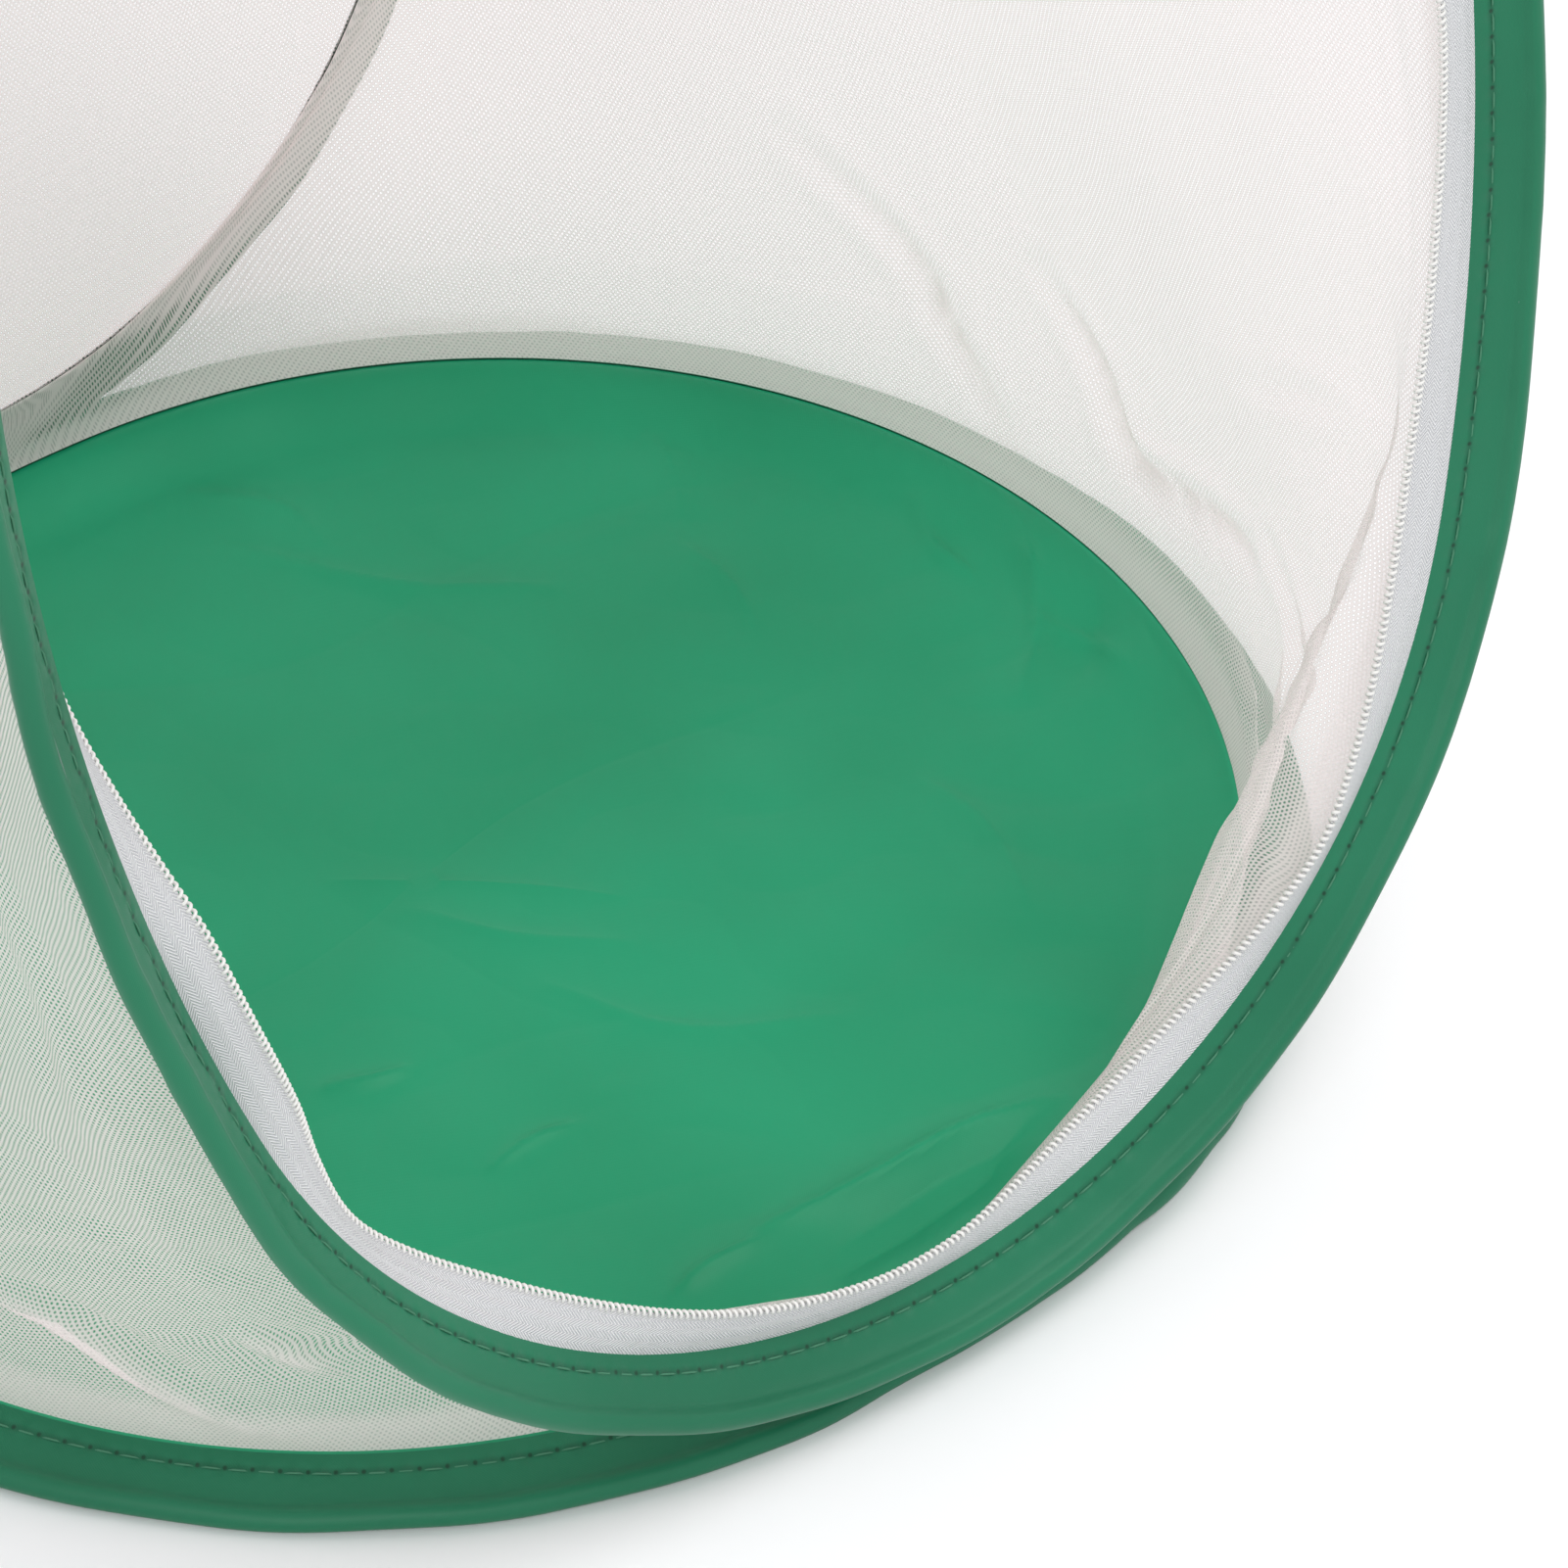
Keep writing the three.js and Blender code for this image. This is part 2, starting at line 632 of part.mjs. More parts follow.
const door = new THREE.Group();
door.name = "door_hinge";
door.position.copy(shut_hinge);
door.rotation.x = -door_swing;
const shut_door = new THREE.Group();
shut_door.position.copy(shut_hinge).negate();
shut_door.add(
  named("door_mesh", fromSolid(door_panel), white_mesh()),
  named(
    "door_zip_tape",
    sweep(door_zip_run, bandSection(door_tape_edge, door_mesh_edge - zip_gap, panel_thickness), false),
    white_tape(),
  ),
  named("door_zip_coil", sweep(door_zip_run, coilSection(door_coil_edge), false), white_coil()),
);
door.add(shut_door);
front_loop.add(door);

const cage = new THREE.Group();
cage.add(base_loop, front_loop, back_loop, roof_loop, walls);
export default cage;
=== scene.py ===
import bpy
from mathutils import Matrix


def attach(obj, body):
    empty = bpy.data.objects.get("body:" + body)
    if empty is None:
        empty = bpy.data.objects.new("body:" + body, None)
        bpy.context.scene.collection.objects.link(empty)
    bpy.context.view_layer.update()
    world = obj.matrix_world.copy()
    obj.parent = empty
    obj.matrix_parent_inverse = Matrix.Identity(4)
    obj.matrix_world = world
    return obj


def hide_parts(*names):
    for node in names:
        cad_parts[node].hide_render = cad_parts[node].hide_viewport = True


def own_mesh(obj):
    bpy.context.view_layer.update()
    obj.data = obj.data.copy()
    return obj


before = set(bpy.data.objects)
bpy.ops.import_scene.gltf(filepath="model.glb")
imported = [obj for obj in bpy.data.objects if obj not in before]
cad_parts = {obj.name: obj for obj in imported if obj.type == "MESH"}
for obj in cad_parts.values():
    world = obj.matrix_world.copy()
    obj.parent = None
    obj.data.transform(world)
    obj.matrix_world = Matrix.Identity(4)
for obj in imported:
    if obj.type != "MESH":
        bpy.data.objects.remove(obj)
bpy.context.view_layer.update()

import math
import bpy
import numpy as np
from mathutils import Matrix, Vector

# Pop-up insect cage. Sizes are in millimetres up to the moment a mesh is made.
# The values of the first part repeat the model's own, so that every piece lies on its solids.
MM = 0.001
BASE_HALF_WIDTH, BASE_HALF_DEPTH, BASE_FRONT_RADIUS = 182, 167, 430
LOOP_HALF_WIDTH, LOOP_HALF_HEIGHT, LOOP_SIDE_RADIUS = 170, 245, 447
LEAN = math.radians(12.3)
FRONT_STEP, BACK_STEP = 9.6, 1
SLEEVE, BULGE, SKIN = 16, 2.7, 0.65
WIRE_SEAT = SLEEVE - BULGE
BASE_FLARE, ROOF_FLARE = math.radians(19.4), math.radians(50)
UPRIGHT_FLARE, FLARE_SWING = math.radians(27.3), math.radians(13.4)
HINGE_CLEARANCE = 0.35
TAPE, COIL, COIL_GAP, ZIP_GAP, DOOR_TAPE = 9.7, 2.2, 2.2, 0.3, 9
FRAME_ZIP_STEPS, DOOR_ZIP_STEPS, TIGHT_STEPS = 3, 4, 8
NECK_HALF_WIDTH, BEND_RISE, CROWN_CLEARANCE, REST_GAP = 45, 12, 2.2, 0.3
PANEL = 0.6
FLOOR_SLOPE = 22
SWELL, SWELL_TURN = 27, math.radians(30)
SWELL_Y, SWELL_Z = (21, 61, 167, 257), (80, 90, 240)

# Detail that only this scene has
STITCH_PITCH, STITCH_LENGTH, STITCH_LINE, THREAD = 5.4, 4.0, 4.0, 0.46
HOLE_START = (STITCH_LENGTH - STITCH_PITCH) / 2 - STITCH_PITCH / 2
TAPE_STEP, COIL_PITCH, COIL_WIRE, COIL_FLATNESS, COIL_FIT = 4, 1.5, 0.8, 0.82, 0.6
# Waves of a sleeve: SLOW and QUICK ones push its cloth through, REACH and SLACK ones along the strip
SLOW_WAVE, QUICK_WAVE, REACH_WAVE, SLACK_WAVE = 60, 16, 40, 34
SLOW_GAIN, QUICK_HEIGHT, QUICK_SLACK = 0.6, 0.22, 0.45
REACH_GAIN, REACH_HEIGHT, SLACK_HEIGHT = 0.5, 0.6, 0.9
# The base sleeve is slack round this direction. The roof's is calm at the back, where the flap lies
SLACK_SIDE, SLACK_SPREAD = (0.57, -0.82), 0.35
CALM = (0.35, 0.75)
# The floor: its pleats at the seam, and how high its cloth lies over the ground, mostly and at least
PLEATS, PLEAT_SWAY, PLEAT_HEIGHT, PLEAT_REACH, PLEAT_RISE = 23, 2, 0.5, 30, 8
FLOOR_LIFT, FLOOR_LEAST, CREASE_RISE = 0.35, 0.3, 12
# The walls: the band along a seam over which the doubled hem fades out, and how dense the hem is
HEM, HEM_SHARE = (9, 14), 0.6
# Rounds in which a wall's sheet settles, first evenly and then pulled taut
EVEN_ROUNDS, TAUT_ROUNDS = 1500, 1500
# Shares of a wall's width over which its waves and folds fade to the rim
WAVE_FADE, FOLD_FADE = 0.06, 0.03
# A fold has a trough beside it, in half widths of the fold, and a doubled crest
TROUGH, TROUGH_PLACE, TROUGH_WIDTH, CREST = 0.45, 1.7, 0.8, 2.0
# The net: pitch of its holes, how much further apart the rows are, and a hole's radius in pitches
NET_PITCH, NET_ROWS, NET_HOLE, NET_EDGE, NET_DOUBLED = 1.15, 1.5, 0.23, 0.08, 0.94
# Degrees that the zip hangs turned into the cage, every 20 mm of the seam, from the right to the left
ZIP_TURN_START, ZIP_TURN_STEP = -320, 20
ZIP_TURNS = [0, -8, -6, 0, 4, 10, 14, 8, -6, -20, -30, -18, 0, 12, 8, -8, -26, -32, -28, -22, -10,
             6, 24, 46, 58, 36, 4, -14, -8, 24, 48, 66, 76, 80, 80, 80, 80, 80, 80, 80, 76, 60, 36, 14, 0]
WALL_PARTS = 9
ROUND_STEPS = 240

# Folds of the two end walls: height, half width and the points that each runs through
WALL_FOLDS = {
    1: [
        (3.0, 4.5, [(153, 63, 92), (167, 37, 67), (174, 28, 46), (179, 15, 25)]),
        (3.2, 4.5, [(176, 4, 78), (181, -14, 61), (180, -28, 43), (172, -62, 51), (167, -79, 54)]),
        (3.0, 3.8, [(168, -65, 94), (161, -106, 114), (146, -133, 113)]),
        (4.1, 3.8, [(163, -87, 64), (152, -108, 62), (143, -121, 58), (137, -121, 37), (129, -125, 26)]),
        (3.5, 3.8, [(146, -133, 113), (136, -135, 98), (145, -118, 58)]),
        (3.0, 3.0, [(167, -71, 29), (156, -92, 28), (145, -106, 20)]),
        (2.7, 3.8, [(146, -113, 45), (125, -121, 40), (101, -137, 38), (72, -151, 21)]),
    ],
    -1: [
        (3.5, 3.8, [(-164, -83, 67), (-152, -112, 79), (-133, -128, 73)]),
        (4.3, 3.8, [(-165, -82, 45), (-157, -96, 44), (-141, -112, 22), (-123, -126, 12)]),
        (3.2, 3.0, [(-137, -124, 46), (-123, -130, 35)]),
        (3.2, 4.5, [(-161, -93, 169), (-162, -110, 147), (-160, -119, 121), (-144, -120, 69)]),
        (3.2, 4.5, [(-163, -86, 100), (-157, -108, 95), (-139, -123, 66)]),
    ],
}

# Creases of the floor: height, width and the places on the floor that each runs through
FLOOR_CREASES = [
    (3.3, 3.5, [(183, 24), (175, 3), (159, -21), (141, -36)]),
    (2.5, 2.8, [(166, 31), (159, 15), (159, 2)]),
    (-2.5, 3.5, [(185, -5), (174, -24), (159, -38)]),
    (2.2, 2.8, [(159, -21), (164, -34), (163, -46)]),
    (2.1, 3.5, [(115, 52), (114, 35), (110, 20)]),
    (2.5, 2.8, [(-56, -38), (-47, -43), (-38, -45)]),
    (2.2, 2.8, [(-44, -80), (-32, -79), (-22, -81)]),
    (3.3, 3.5, [(-37, -133), (-28, -132), (-14, -133)]),
    (5.6, 6.3, [(-14, -130), (12, -134), (38, -135), (61, -140)]),
    (-4.1, 5.6, [(-5, -148), (18, -146), (47, -143)]),
    (1.8, 4.2, [(-8, -6), (3, -27), (21, -44)]),
    (2.1, 4.9, [(0, -44), (14, -73), (42, -91)]),
    (1.5, 4.2, [(-15, 12), (10, -11), (30, -33)]),
    (2.2, 4.2, [(106, -46), (105, -66), (95, -91)]),
    (2.2, 4.9, [(34, 119), (55, 84), (82, 61)]),
    (2.1, 4.9, [(41, 140), (52, 122), (51, 105)]),
    (2.2, 4.2, [(133, 90), (132, 80), (120, 58)]),
]


# ---- outlines and loops

class Outline:
    """An oval of four arcs, its long axis along x, or along y where it is upright."""

    def __init__(self, half_long, half_short, flat_radius, upright):
        self.half_short, self.flat, self.upright = half_short, flat_radius, upright
        self.tight = (2 * half_short * flat_radius - half_short**2 - half_long**2) / (
            2 * (flat_radius - half_long))
        self.centre = half_long - self.tight
        self.meeting = math.atan2(flat_radius - half_short, self.centre)
        self.quarter = self.meeting * self.tight + (math.pi / 2 - self.meeting) * flat_radius

    def at(self, length):
        """Points and outward directions at lengths along the seam, from the end of the long axis."""
        length = np.asarray(length, float) % (4 * self.quarter)
        quarter = np.minimum((length // self.quarter).astype(int), 3)
        rest = length - quarter * self.quarter
        rest = np.where(quarter % 2 == 1, self.quarter - rest, rest)
        tight_length = self.meeting * self.tight
        tight = rest < tight_length
        angle = np.where(tight, rest / self.tight, self.meeting + (rest - tight_length) / self.flat)
        long = np.where(tight, self.centre + self.tight * np.cos(angle), self.flat * np.cos(angle))
        short = np.where(tight, self.tight * np.sin(angle),
                         self.half_short - self.flat + self.flat * np.sin(angle))
        long_sign = np.array([1, -1, -1, 1])[quarter]
        short_sign = np.array([1, 1, -1, -1])[quarter]
        place = [long * long_sign, short * short_sign]
        facing = [np.cos(angle) * long_sign, np.sin(angle) * short_sign]
        if self.upright:
            place, facing = place[::-1], facing[::-1]
        return np.stack(place, -1), np.stack(facing, -1)

    def around(self, count):
        return np.arange(count) * 4 * self.quarter / count


class Loop:
    """A loop's plane: its centre, its own x and y, and the way out of the cage."""

    def __init__(self, outline, centre, x_axis, y_axis):
        self.outline = outline
        self.centre, self.x, self.y = (np.array(v, float) for v in (centre, x_axis, y_axis))
        self.out = np.cross(self.x, self.y)

    def place(self, flat, height=0.0):
        flat, height = np.asarray(flat, float), np.asarray(height, float)
        point = self.centre + flat[..., :1] * self.x + flat[..., 1:2] * self.y
        return point + height[..., None] * self.out

    def along(self, length, outward=0.0, height=0.0):
        place, facing = self.outline.at(length)
        outward = np.asarray(outward, float)[..., None]
        return self.place(place + facing * outward, np.broadcast_to(height, place.shape[:-1]))


base_oval = Outline(BASE_HALF_WIDTH, BASE_HALF_DEPTH, BASE_FRONT_RADIUS, False)
loop_oval = Outline(LOOP_HALF_HEIGHT, LOOP_HALF_WIDTH, LOOP_SIDE_RADIUS, True)

seam_height = BULGE + WIRE_SEAT * math.sin(BASE_FLARE)
sine, cosine = math.sin(LEAN), math.cos(LEAN)


def hinge_height(step):
    over_sleeve = (SLEEVE + SKIN + HINGE_CLEARANCE) / math.cos(BASE_FLARE)
    return seam_height - step * math.tan(BASE_FLARE) + over_sleeve


front_hinge = np.array([0, -BASE_HALF_DEPTH - FRONT_STEP, hinge_height(FRONT_STEP)])
back_hinge = np.array([0, BASE_HALF_DEPTH + BACK_STEP, hinge_height(BACK_STEP)])
up = np.array([0, sine, cosine])
roof_centre = np.array([
    0,
    2 * LOOP_HALF_HEIGHT * sine + BACK_STEP - FRONT_STEP,
    front_hinge[2] + 2 * LOOP_HALF_HEIGHT * cosine + back_hinge[2] - seam_height,
])
base = Loop(base_oval, (0, 0, seam_height), (1, 0, 0), (0, 1, 0))
front = Loop(loop_oval, front_hinge + up * LOOP_HALF_HEIGHT, (1, 0, 0), up)
back = Loop(loop_oval, back_hinge + up * LOOP_HALF_HEIGHT, (-1, 0, 0), up)
roof = Loop(base_oval, roof_centre, (1, 0, 0), (0, 1, 0))

# The door's hinge line and how far it is thrown open
to_bulge = np.array([0, BASE_HALF_DEPTH + WIRE_SEAT * math.cos(ROOF_FLARE), 0])
bulge_rise = np.array([0, 0, WIRE_SEAT * math.sin(ROOF_FLARE)])
front_bulge = roof_centre - to_bulge + bulge_rise
back_bulge = roof_centre + to_bulge + bulge_rise
corner = (BULGE + CROWN_CLEARANCE) / math.sqrt(2)
door_hinge = front_bulge + np.array([0, -corner, corner])
shut_y = float((door_hinge - front.centre) @ front.y)
shut_z = float((door_hinge - front.centre) @ front.out)
reach = back_bulge - door_hinge
flap_clearance = shut_z - PANEL / 2 - BULGE - REST_GAP
flap_slope = math.asin(flap_clearance / math.hypot(reach[1], reach[2])) - math.atan2(reach[2], reach[1])
door_swing = 3 * math.pi / 2 - LEAN + flap_slope


def thrown_open(points):
    """Points of the shut door, turned about its hinge line to where it is stored."""
    turn = np.array(Matrix.Rotation(-door_swing, 3, "X"))
    return (points - door_hinge) @ turn.T + door_hinge


# ---- meshes

def new_object(name, data):
    made = bpy.data.objects.new(name, data)
    bpy.context.scene.collection.objects.link(made)
    return made


def new_mesh(name, points, faces, uvs, material):
    """A mesh object from points in millimetres. uvs holds one pair for each corner of each face."""
    mesh = bpy.data.meshes.new(name)
    mesh.from_pydata((np.asarray(points) * MM).tolist(), [], [list(map(int, f)) for f in faces])
    if uvs is not None:
        layer = mesh.uv_layers.new(name="cloth")
        metres = np.asarray(uvs, float).reshape(-1, 2) * MM
        layer.data.foreach_set("uv", metres.astype(np.float32).ravel())
    mesh.polygons.foreach_set("use_smooth", [True] * len(mesh.polygons))
    mesh.materials.append(material)
    mesh.validate()
    return new_object(name, mesh)


def capped(faces, sides, last):
    """The faces of a tube of points, with one more face at each of its two ends."""
    return faces.tolist() + [list(reversed(range(sides))), [last * sides + k for k in range(sides)]]


def on_plane(flat):
    """Flat points with a third coordinate of zero, as the noise takes them."""
    return np.concatenate([flat, np.zeros(flat.shape[:-1] + (1,))], -1)


def grid(points, u, v, wrap_rows=False, wrap_columns=False):
    """Faces and their UVs for rows of points. A wrapped direction has one more u or v than points."""
    rows, columns = points.shape[:2]
    i, j = np.meshgrid(np.arange(rows if wrap_rows else rows - 1),
                       np.arange(columns if wrap_columns else columns - 1), indexing="ij")
    corners = [(i, j), (i, j + 1), (i + 1, j + 1), (i + 1, j)]
    faces = np.stack([(a % rows) * columns + b % columns for a, b in corners], -1).reshape(-1, 4)
    u, v = (np.broadcast_to(w, (rows + wrap_rows, columns + wrap_columns)) for w in (u, v))
    uvs = np.stack([np.stack([u[a, b], v[a, b]], -1) for a, b in corners], 2).reshape(-1, 4, 2)
    return faces, uvs


def ripple(place, seed, size, count=7):
    """Smooth noise of about unit height from a few waves of random direction, of a given size."""
    draw = np.random.default_rng(seed)
    total = 0
    for _ in range(count):
        direction = draw.normal(size=3)
        direction *= 2 * math.pi / (size * draw.uniform(0.6, 1.6) * np.linalg.norm(direction))
        total = total + np.sin(place @ direction + draw.uniform(0, 2 * math.pi))
    return total / math.sqrt(count)


def smooth_step(value, low, high):
    share = np.clip((value - low) / (high - low), 0, 1)
    return share * share * (3 - 2 * share)


def spline(points, parts):
    """A smooth curve through rows of points, with some parts between each two rows."""
    ends = [2 * points[:1] - points[1:2], points, 2 * points[-1:] - points[-2:-1]]
    held = np.concatenate(ends)
    place = np.arange((len(points) - 1) * parts + 1) / parts
    k = np.minimum(place.astype(int), len(points) - 2)
    t = (place - k).reshape((-1,) + (1,) * (points.ndim - 1))
    a, b, c, d = (held[k + n] for n in range(4))
    square, cube = a - 2.5 * b + 2 * c - d / 2, 1.5 * (b - c) + (d - a) / 2
    return b + t * (c - a) / 2 + t * t * square + t**3 * cube


def monotone(points, parts):
    """A curve through rows of points that never swings past them, however unevenly they lie."""
    step = np.diff(points, axis=0)
    product = step[:-1] * step[1:]
    slope = np.where(product > 0, 2 * product / np.where(product > 0, step[:-1] + step[1:], 1), 0)
    slope = np.concatenate([step[:1], slope, step[-1:]])
    place = np.arange((len(points) - 1) * parts + 1) / parts
    k = np.minimum(place.astype(int), len(points) - 2)
    t = (place - k).reshape((-1,) + (1,) * (points.ndim - 1))
    rise = 3 * t**2 - 2 * t**3
    bend = (t**3 - 2 * t**2 + t) * slope[k] + (t**3 - t**2) * slope[k + 1]
    return points[k] + rise * step[k] + bend


# ---- materials

def linear(r, g, b):
    def one(c):
        c /= 255
        return c / 12.92 if c <= 0.04045 else ((c + 0.055) / 1.055) ** 2.4
    return (one(r), one(g), one(b), 1)


class Nodes:
    """A node tree with short calls to add and join nodes."""

    def __init__(self, owner):
        owner.use_nodes = True
        self.tree = owner.node_tree
        self.tree.nodes.clear()

    def node(self, kind, inputs=None, **settings):
        made = self.tree.nodes.new("ShaderNode" + kind)
        for key, value in settings.items():
            setattr(made, key, value)
        for key, value in (inputs or {}).items():
            socket = made.inputs[key]
            if isinstance(value, bpy.types.NodeSocket):
                self.tree.links.new(value, socket)
            else:
                socket.default_value = value
        return made

    def math(self, operation, *values):
        return self.node("Math", dict(enumerate(values)), operation=operation).outputs[0]


class Material(Nodes):
    """A node material, with the textures and shaders that the cloths share."""

    def __init__(self, name):
        self.data = bpy.data.materials.new(name)
        super().__init__(self.data)
        self.out = self.node("OutputMaterial")
        self.place = self.node("TexCoord")

    def uv(self):
        parts = self.node("SeparateXYZ", {0: self.place.outputs["UV"]})
        return parts.outputs[0], parts.outputs[1]

    def noise(self, scale, detail, distortion=0.0, **settings):
        inputs = {"Vector": self.place.outputs["Object"], "Scale": scale, "Detail": detail,
                  "Roughness": 0.5, "Distortion": distortion}
        return self.node("TexNoise", inputs, **settings).outputs["Fac"]

    def length(self, x, y):
        squares = self.math("MULTIPLY", x, x), self.math("MULTIPLY", y, y)
        return self.math("SQRT", self.math("ADD", *squares))

    def ramp(self, value, low, high, from_low=0.0, from_high=1.0):
        mix = self.node("MapRange", {0: value, 1: from_low, 2: from_high, 3: low, 4: high})
        return mix.outputs[0]

    def blend(self, share, first, second):
        mix = self.node("Mix", {0: share, 6: first, 7: second}, data_type="RGBA")
        return mix.outputs[2]

    def bump(self, height, strength, distance, normal=None):
        inputs = {"Height": height, "Strength": strength, "Distance": distance}
        if normal is not None:
            inputs["Normal"] = normal
        return self.node("Bump", inputs).outputs[0]

    def principled(self, **inputs):
        names = {"color": "Base Color", "roughness": "Roughness", "metallic": "Metallic",
                 "normal": "Normal", "sheen": "Sheen Weight", "sheen_roughness": "Sheen Roughness",
                 "specular": "Specular IOR Level"}
        return self.node("BsdfPrincipled", {names[k]: v for k, v in inputs.items()}).outputs[0]

    def finish(self, shader):
        self.tree.links.new(shader, self.out.inputs[0])
        return self.data


# STITCH_SHADE is the colour of the painted shade in the needle holes and along the line of stitches
WEAVE_PITCH, PUCKER_WIDTH, STITCH_SHADE = 0.0006, 0.0014, (14, 62, 42)


def nylon(name, colour, fold_shade, sewn):
    """Thin woven nylon with soft creases and patches of painted fold shade. A sewn strip also puckers along
    its line of stitches, with painted shade in its needle holes and along the line.
    """
    m = Material(name)
    u, v = m.uv()
    threads = [m.math("SINE", m.math("MULTIPLY", w, 2 * math.pi / WEAVE_PITCH)) for w in (u, v)]
    weave = m.math("MULTIPLY", *threads)
    creases = m.noise(22, 3, 1.2, noise_type="RIDGED_MULTIFRACTAL")
    # Painted shade: noise patches turn the cloth towards its darker second colour, as if folds lay in shade
    # there; they do not follow the creases of the bump
    painted_fold_shade = m.noise(9, 2)
    shade = m.blend(m.ramp(painted_fold_shade, 0, 1, 0.35, 0.65), linear(*fold_shade), linear(*colour))
    normal = m.bump(creases, 0.6, 0.0012)
    normal = m.bump(weave, 0.12, 0.00006, normal)
    if sewn:
        line = m.math("SUBTRACT", m.math("ABSOLUTE", v), STITCH_LINE * MM)
        line = m.math("DIVIDE", line, PUCKER_WIDTH)
        near = m.math("POWER", math.e, m.math("MULTIPLY", m.math("MULTIPLY", line, line), -1.0))
        beat = m.math("SINE", m.math("MULTIPLY", u, 2 * math.pi / (STITCH_PITCH * MM)))
        normal = m.bump(m.math("MULTIPLY", near, beat), 0.5, 0.0005, normal)
        # Painted shade: the needle holes and a groove along the line of stitches are darkened towards
        # STITCH_SHADE
        holes = m.math("DIVIDE", m.math("SUBTRACT", u, HOLE_START * MM), STITCH_PITCH * MM)
        step = m.math("SUBTRACT", m.math("FRACT", holes), 0.5)
        along = m.math("MULTIPLY", step, STITCH_PITCH)
        across = m.math("DIVIDE", m.math("SUBTRACT", v, STITCH_LINE * MM), MM)
        away = m.length(along, across)
        hole_shade = m.ramp(away, 1.0, 0.0, 0.3, 0.75)
        groove_shade = m.math("MULTIPLY", m.ramp(m.math("ABSOLUTE", across), 1.0, 0.0, 0.2, 1.1), 0.35)
        shade = m.blend(m.math("MAXIMUM", hole_shade, groove_shade), shade, linear(*STITCH_SHADE))
    return m.finish(m.principled(color=shade, roughness=0.44, sheen=0.03, sheen_roughness=0.4,
                                 specular=0.26, normal=normal))


def net(name, colour):
    """Knitted net: round holes in offset rows, between fine threads that are partly clear."""
    m = Material(name)
    u, v = m.uv()
    column = m.math("DIVIDE", u, NET_PITCH * MM)
    row = m.math("DIVIDE", v, NET_PITCH * MM * NET_ROWS)

    def distance(shift):
        x = m.math("SUBTRACT", m.math("FRACT", m.math("ADD", column, shift)), 0.5)
        y = m.math("SUBTRACT", m.math("FRACT", m.math("ADD", row, shift)), 0.5)
        y = m.math("MULTIPLY", y, NET_ROWS)
        return m.length(x, y)

    nearest = m.math("MINIMUM", distance(0.0), distance(0.5))
    doubled = m.node("Attribute", attribute_name="doubled").outputs["Fac"]
    single = m.ramp(nearest, 0.08, 0.78, NET_HOLE - NET_EDGE, NET_HOLE + NET_EDGE)
    denser = m.math("SUBTRACT", NET_DOUBLED, single)
    thread = m.math("ADD", single, m.math("MULTIPLY", doubled, denser))
    normal = m.bump(nearest, 0.5, 0.0002)
    cloth = m.node("BsdfDiffuse", {"Color": linear(*colour), "Normal": normal}).outputs[0]
    through = m.node("BsdfTranslucent", {"Color": linear(*colour)}).outputs[0]
    body = m.node("MixShader", {0: 0.32, 1: cloth, 2: through}).outputs[0]
    clear = m.node("BsdfTransparent").outputs[0]
    return m.finish(m.node("MixShader", {0: thread, 1: clear, 2: body}).outputs[0])


def woven_tape(name):
    """Zip tape with a herringbone weave."""
    m = Material(name)
    u, v = m.uv()
    zigzag = m.math("ABSOLUTE", m.math("SUBTRACT", m.math("FRACT", m.math("DIVIDE", v, 0.0032)), 0.5))
    slant = m.math("ADD", m.math("DIVIDE", u, 0.0009), m.math("MULTIPLY", zigzag, 5.0))
    twill = m.math("SINE", m.math("MULTIPLY", slant, 2 * math.pi))
    shade = m.blend(m.ramp(twill, 0, 1, -1, 1), linear(210, 210, 213), linear(250, 250, 249))
    normal = m.bump(twill, 0.8, 0.00025)
    return m.finish(m.principled(color=shade, roughness=0.8, sheen=0.2, normal=normal))


def plain(name, colour, roughness, metallic=0.0, grain=0.04, scale=900):
    m = Material(name)
    grains = m.noise(scale, 2)
    tone = m.blend(m.ramp(grains, 0, 1), linear(*[c * 0.94 for c in colour]), linear(*colour))
    rough = m.ramp(grains, roughness - grain, roughness + grain)
    return m.finish(m.principled(color=tone, roughness=rough, metallic=metallic,
                                 normal=m.bump(grains, 0.1, 0.00004)))


# The second colour of each nylon is its painted fold shade
floor_nylon = nylon("floor nylon", (25, 150, 106), (20, 139, 96), False)
sleeve_nylon = nylon("sleeve nylon", (31, 115, 82), (25, 104, 73), True)
mesh_net = net("white net", (243, 233, 231))
tape_cloth = woven_tape("zip tape")
coil_plastic = plain("zip coil", (240, 238, 234), 0.35)
thread_cotton = plain("thread", (66, 128, 98), 0.75)
steel = plain("spring steel", (165, 168, 172), 0.3, 1.0)
enamel = plain("white enamel", (232, 231, 229), 0.32, 0.0, 0.03, 500)


# ---- wire sleeves with their stitches

def hairpin():
    """Section of the folded strip, open at the seam: [along, across], and lengths round it."""
    neck = WIRE_SEAT - 3.4
    upper = [(-0.3, 0.35), (0.5, 0.42), (STITCH_LINE - 1.2, 0.52), (STITCH_LINE, 0.3),
             (STITCH_LINE + 1.2, 0.55), (neck - 2.5, 0.62), (neck, 0.75), (neck + 1.3, 1.35)]
    turn = [math.radians(a) for a in range(115, -116, -23)]
    bulge = [(WIRE_SEAT + BULGE * math.cos(a), BULGE * math.sin(a)) for a in turn]
    section = np.array(upper + bulge + [(s, -t) for s, t in reversed(upper)])
    steps = np.linalg.norm(np.diff(section, axis=0), axis=1)
    length = np.concatenate([[0], np.cumsum(steps)])
    return section, length


section, section_length = hairpin()
sleeve_cut = float(section_length[-1])


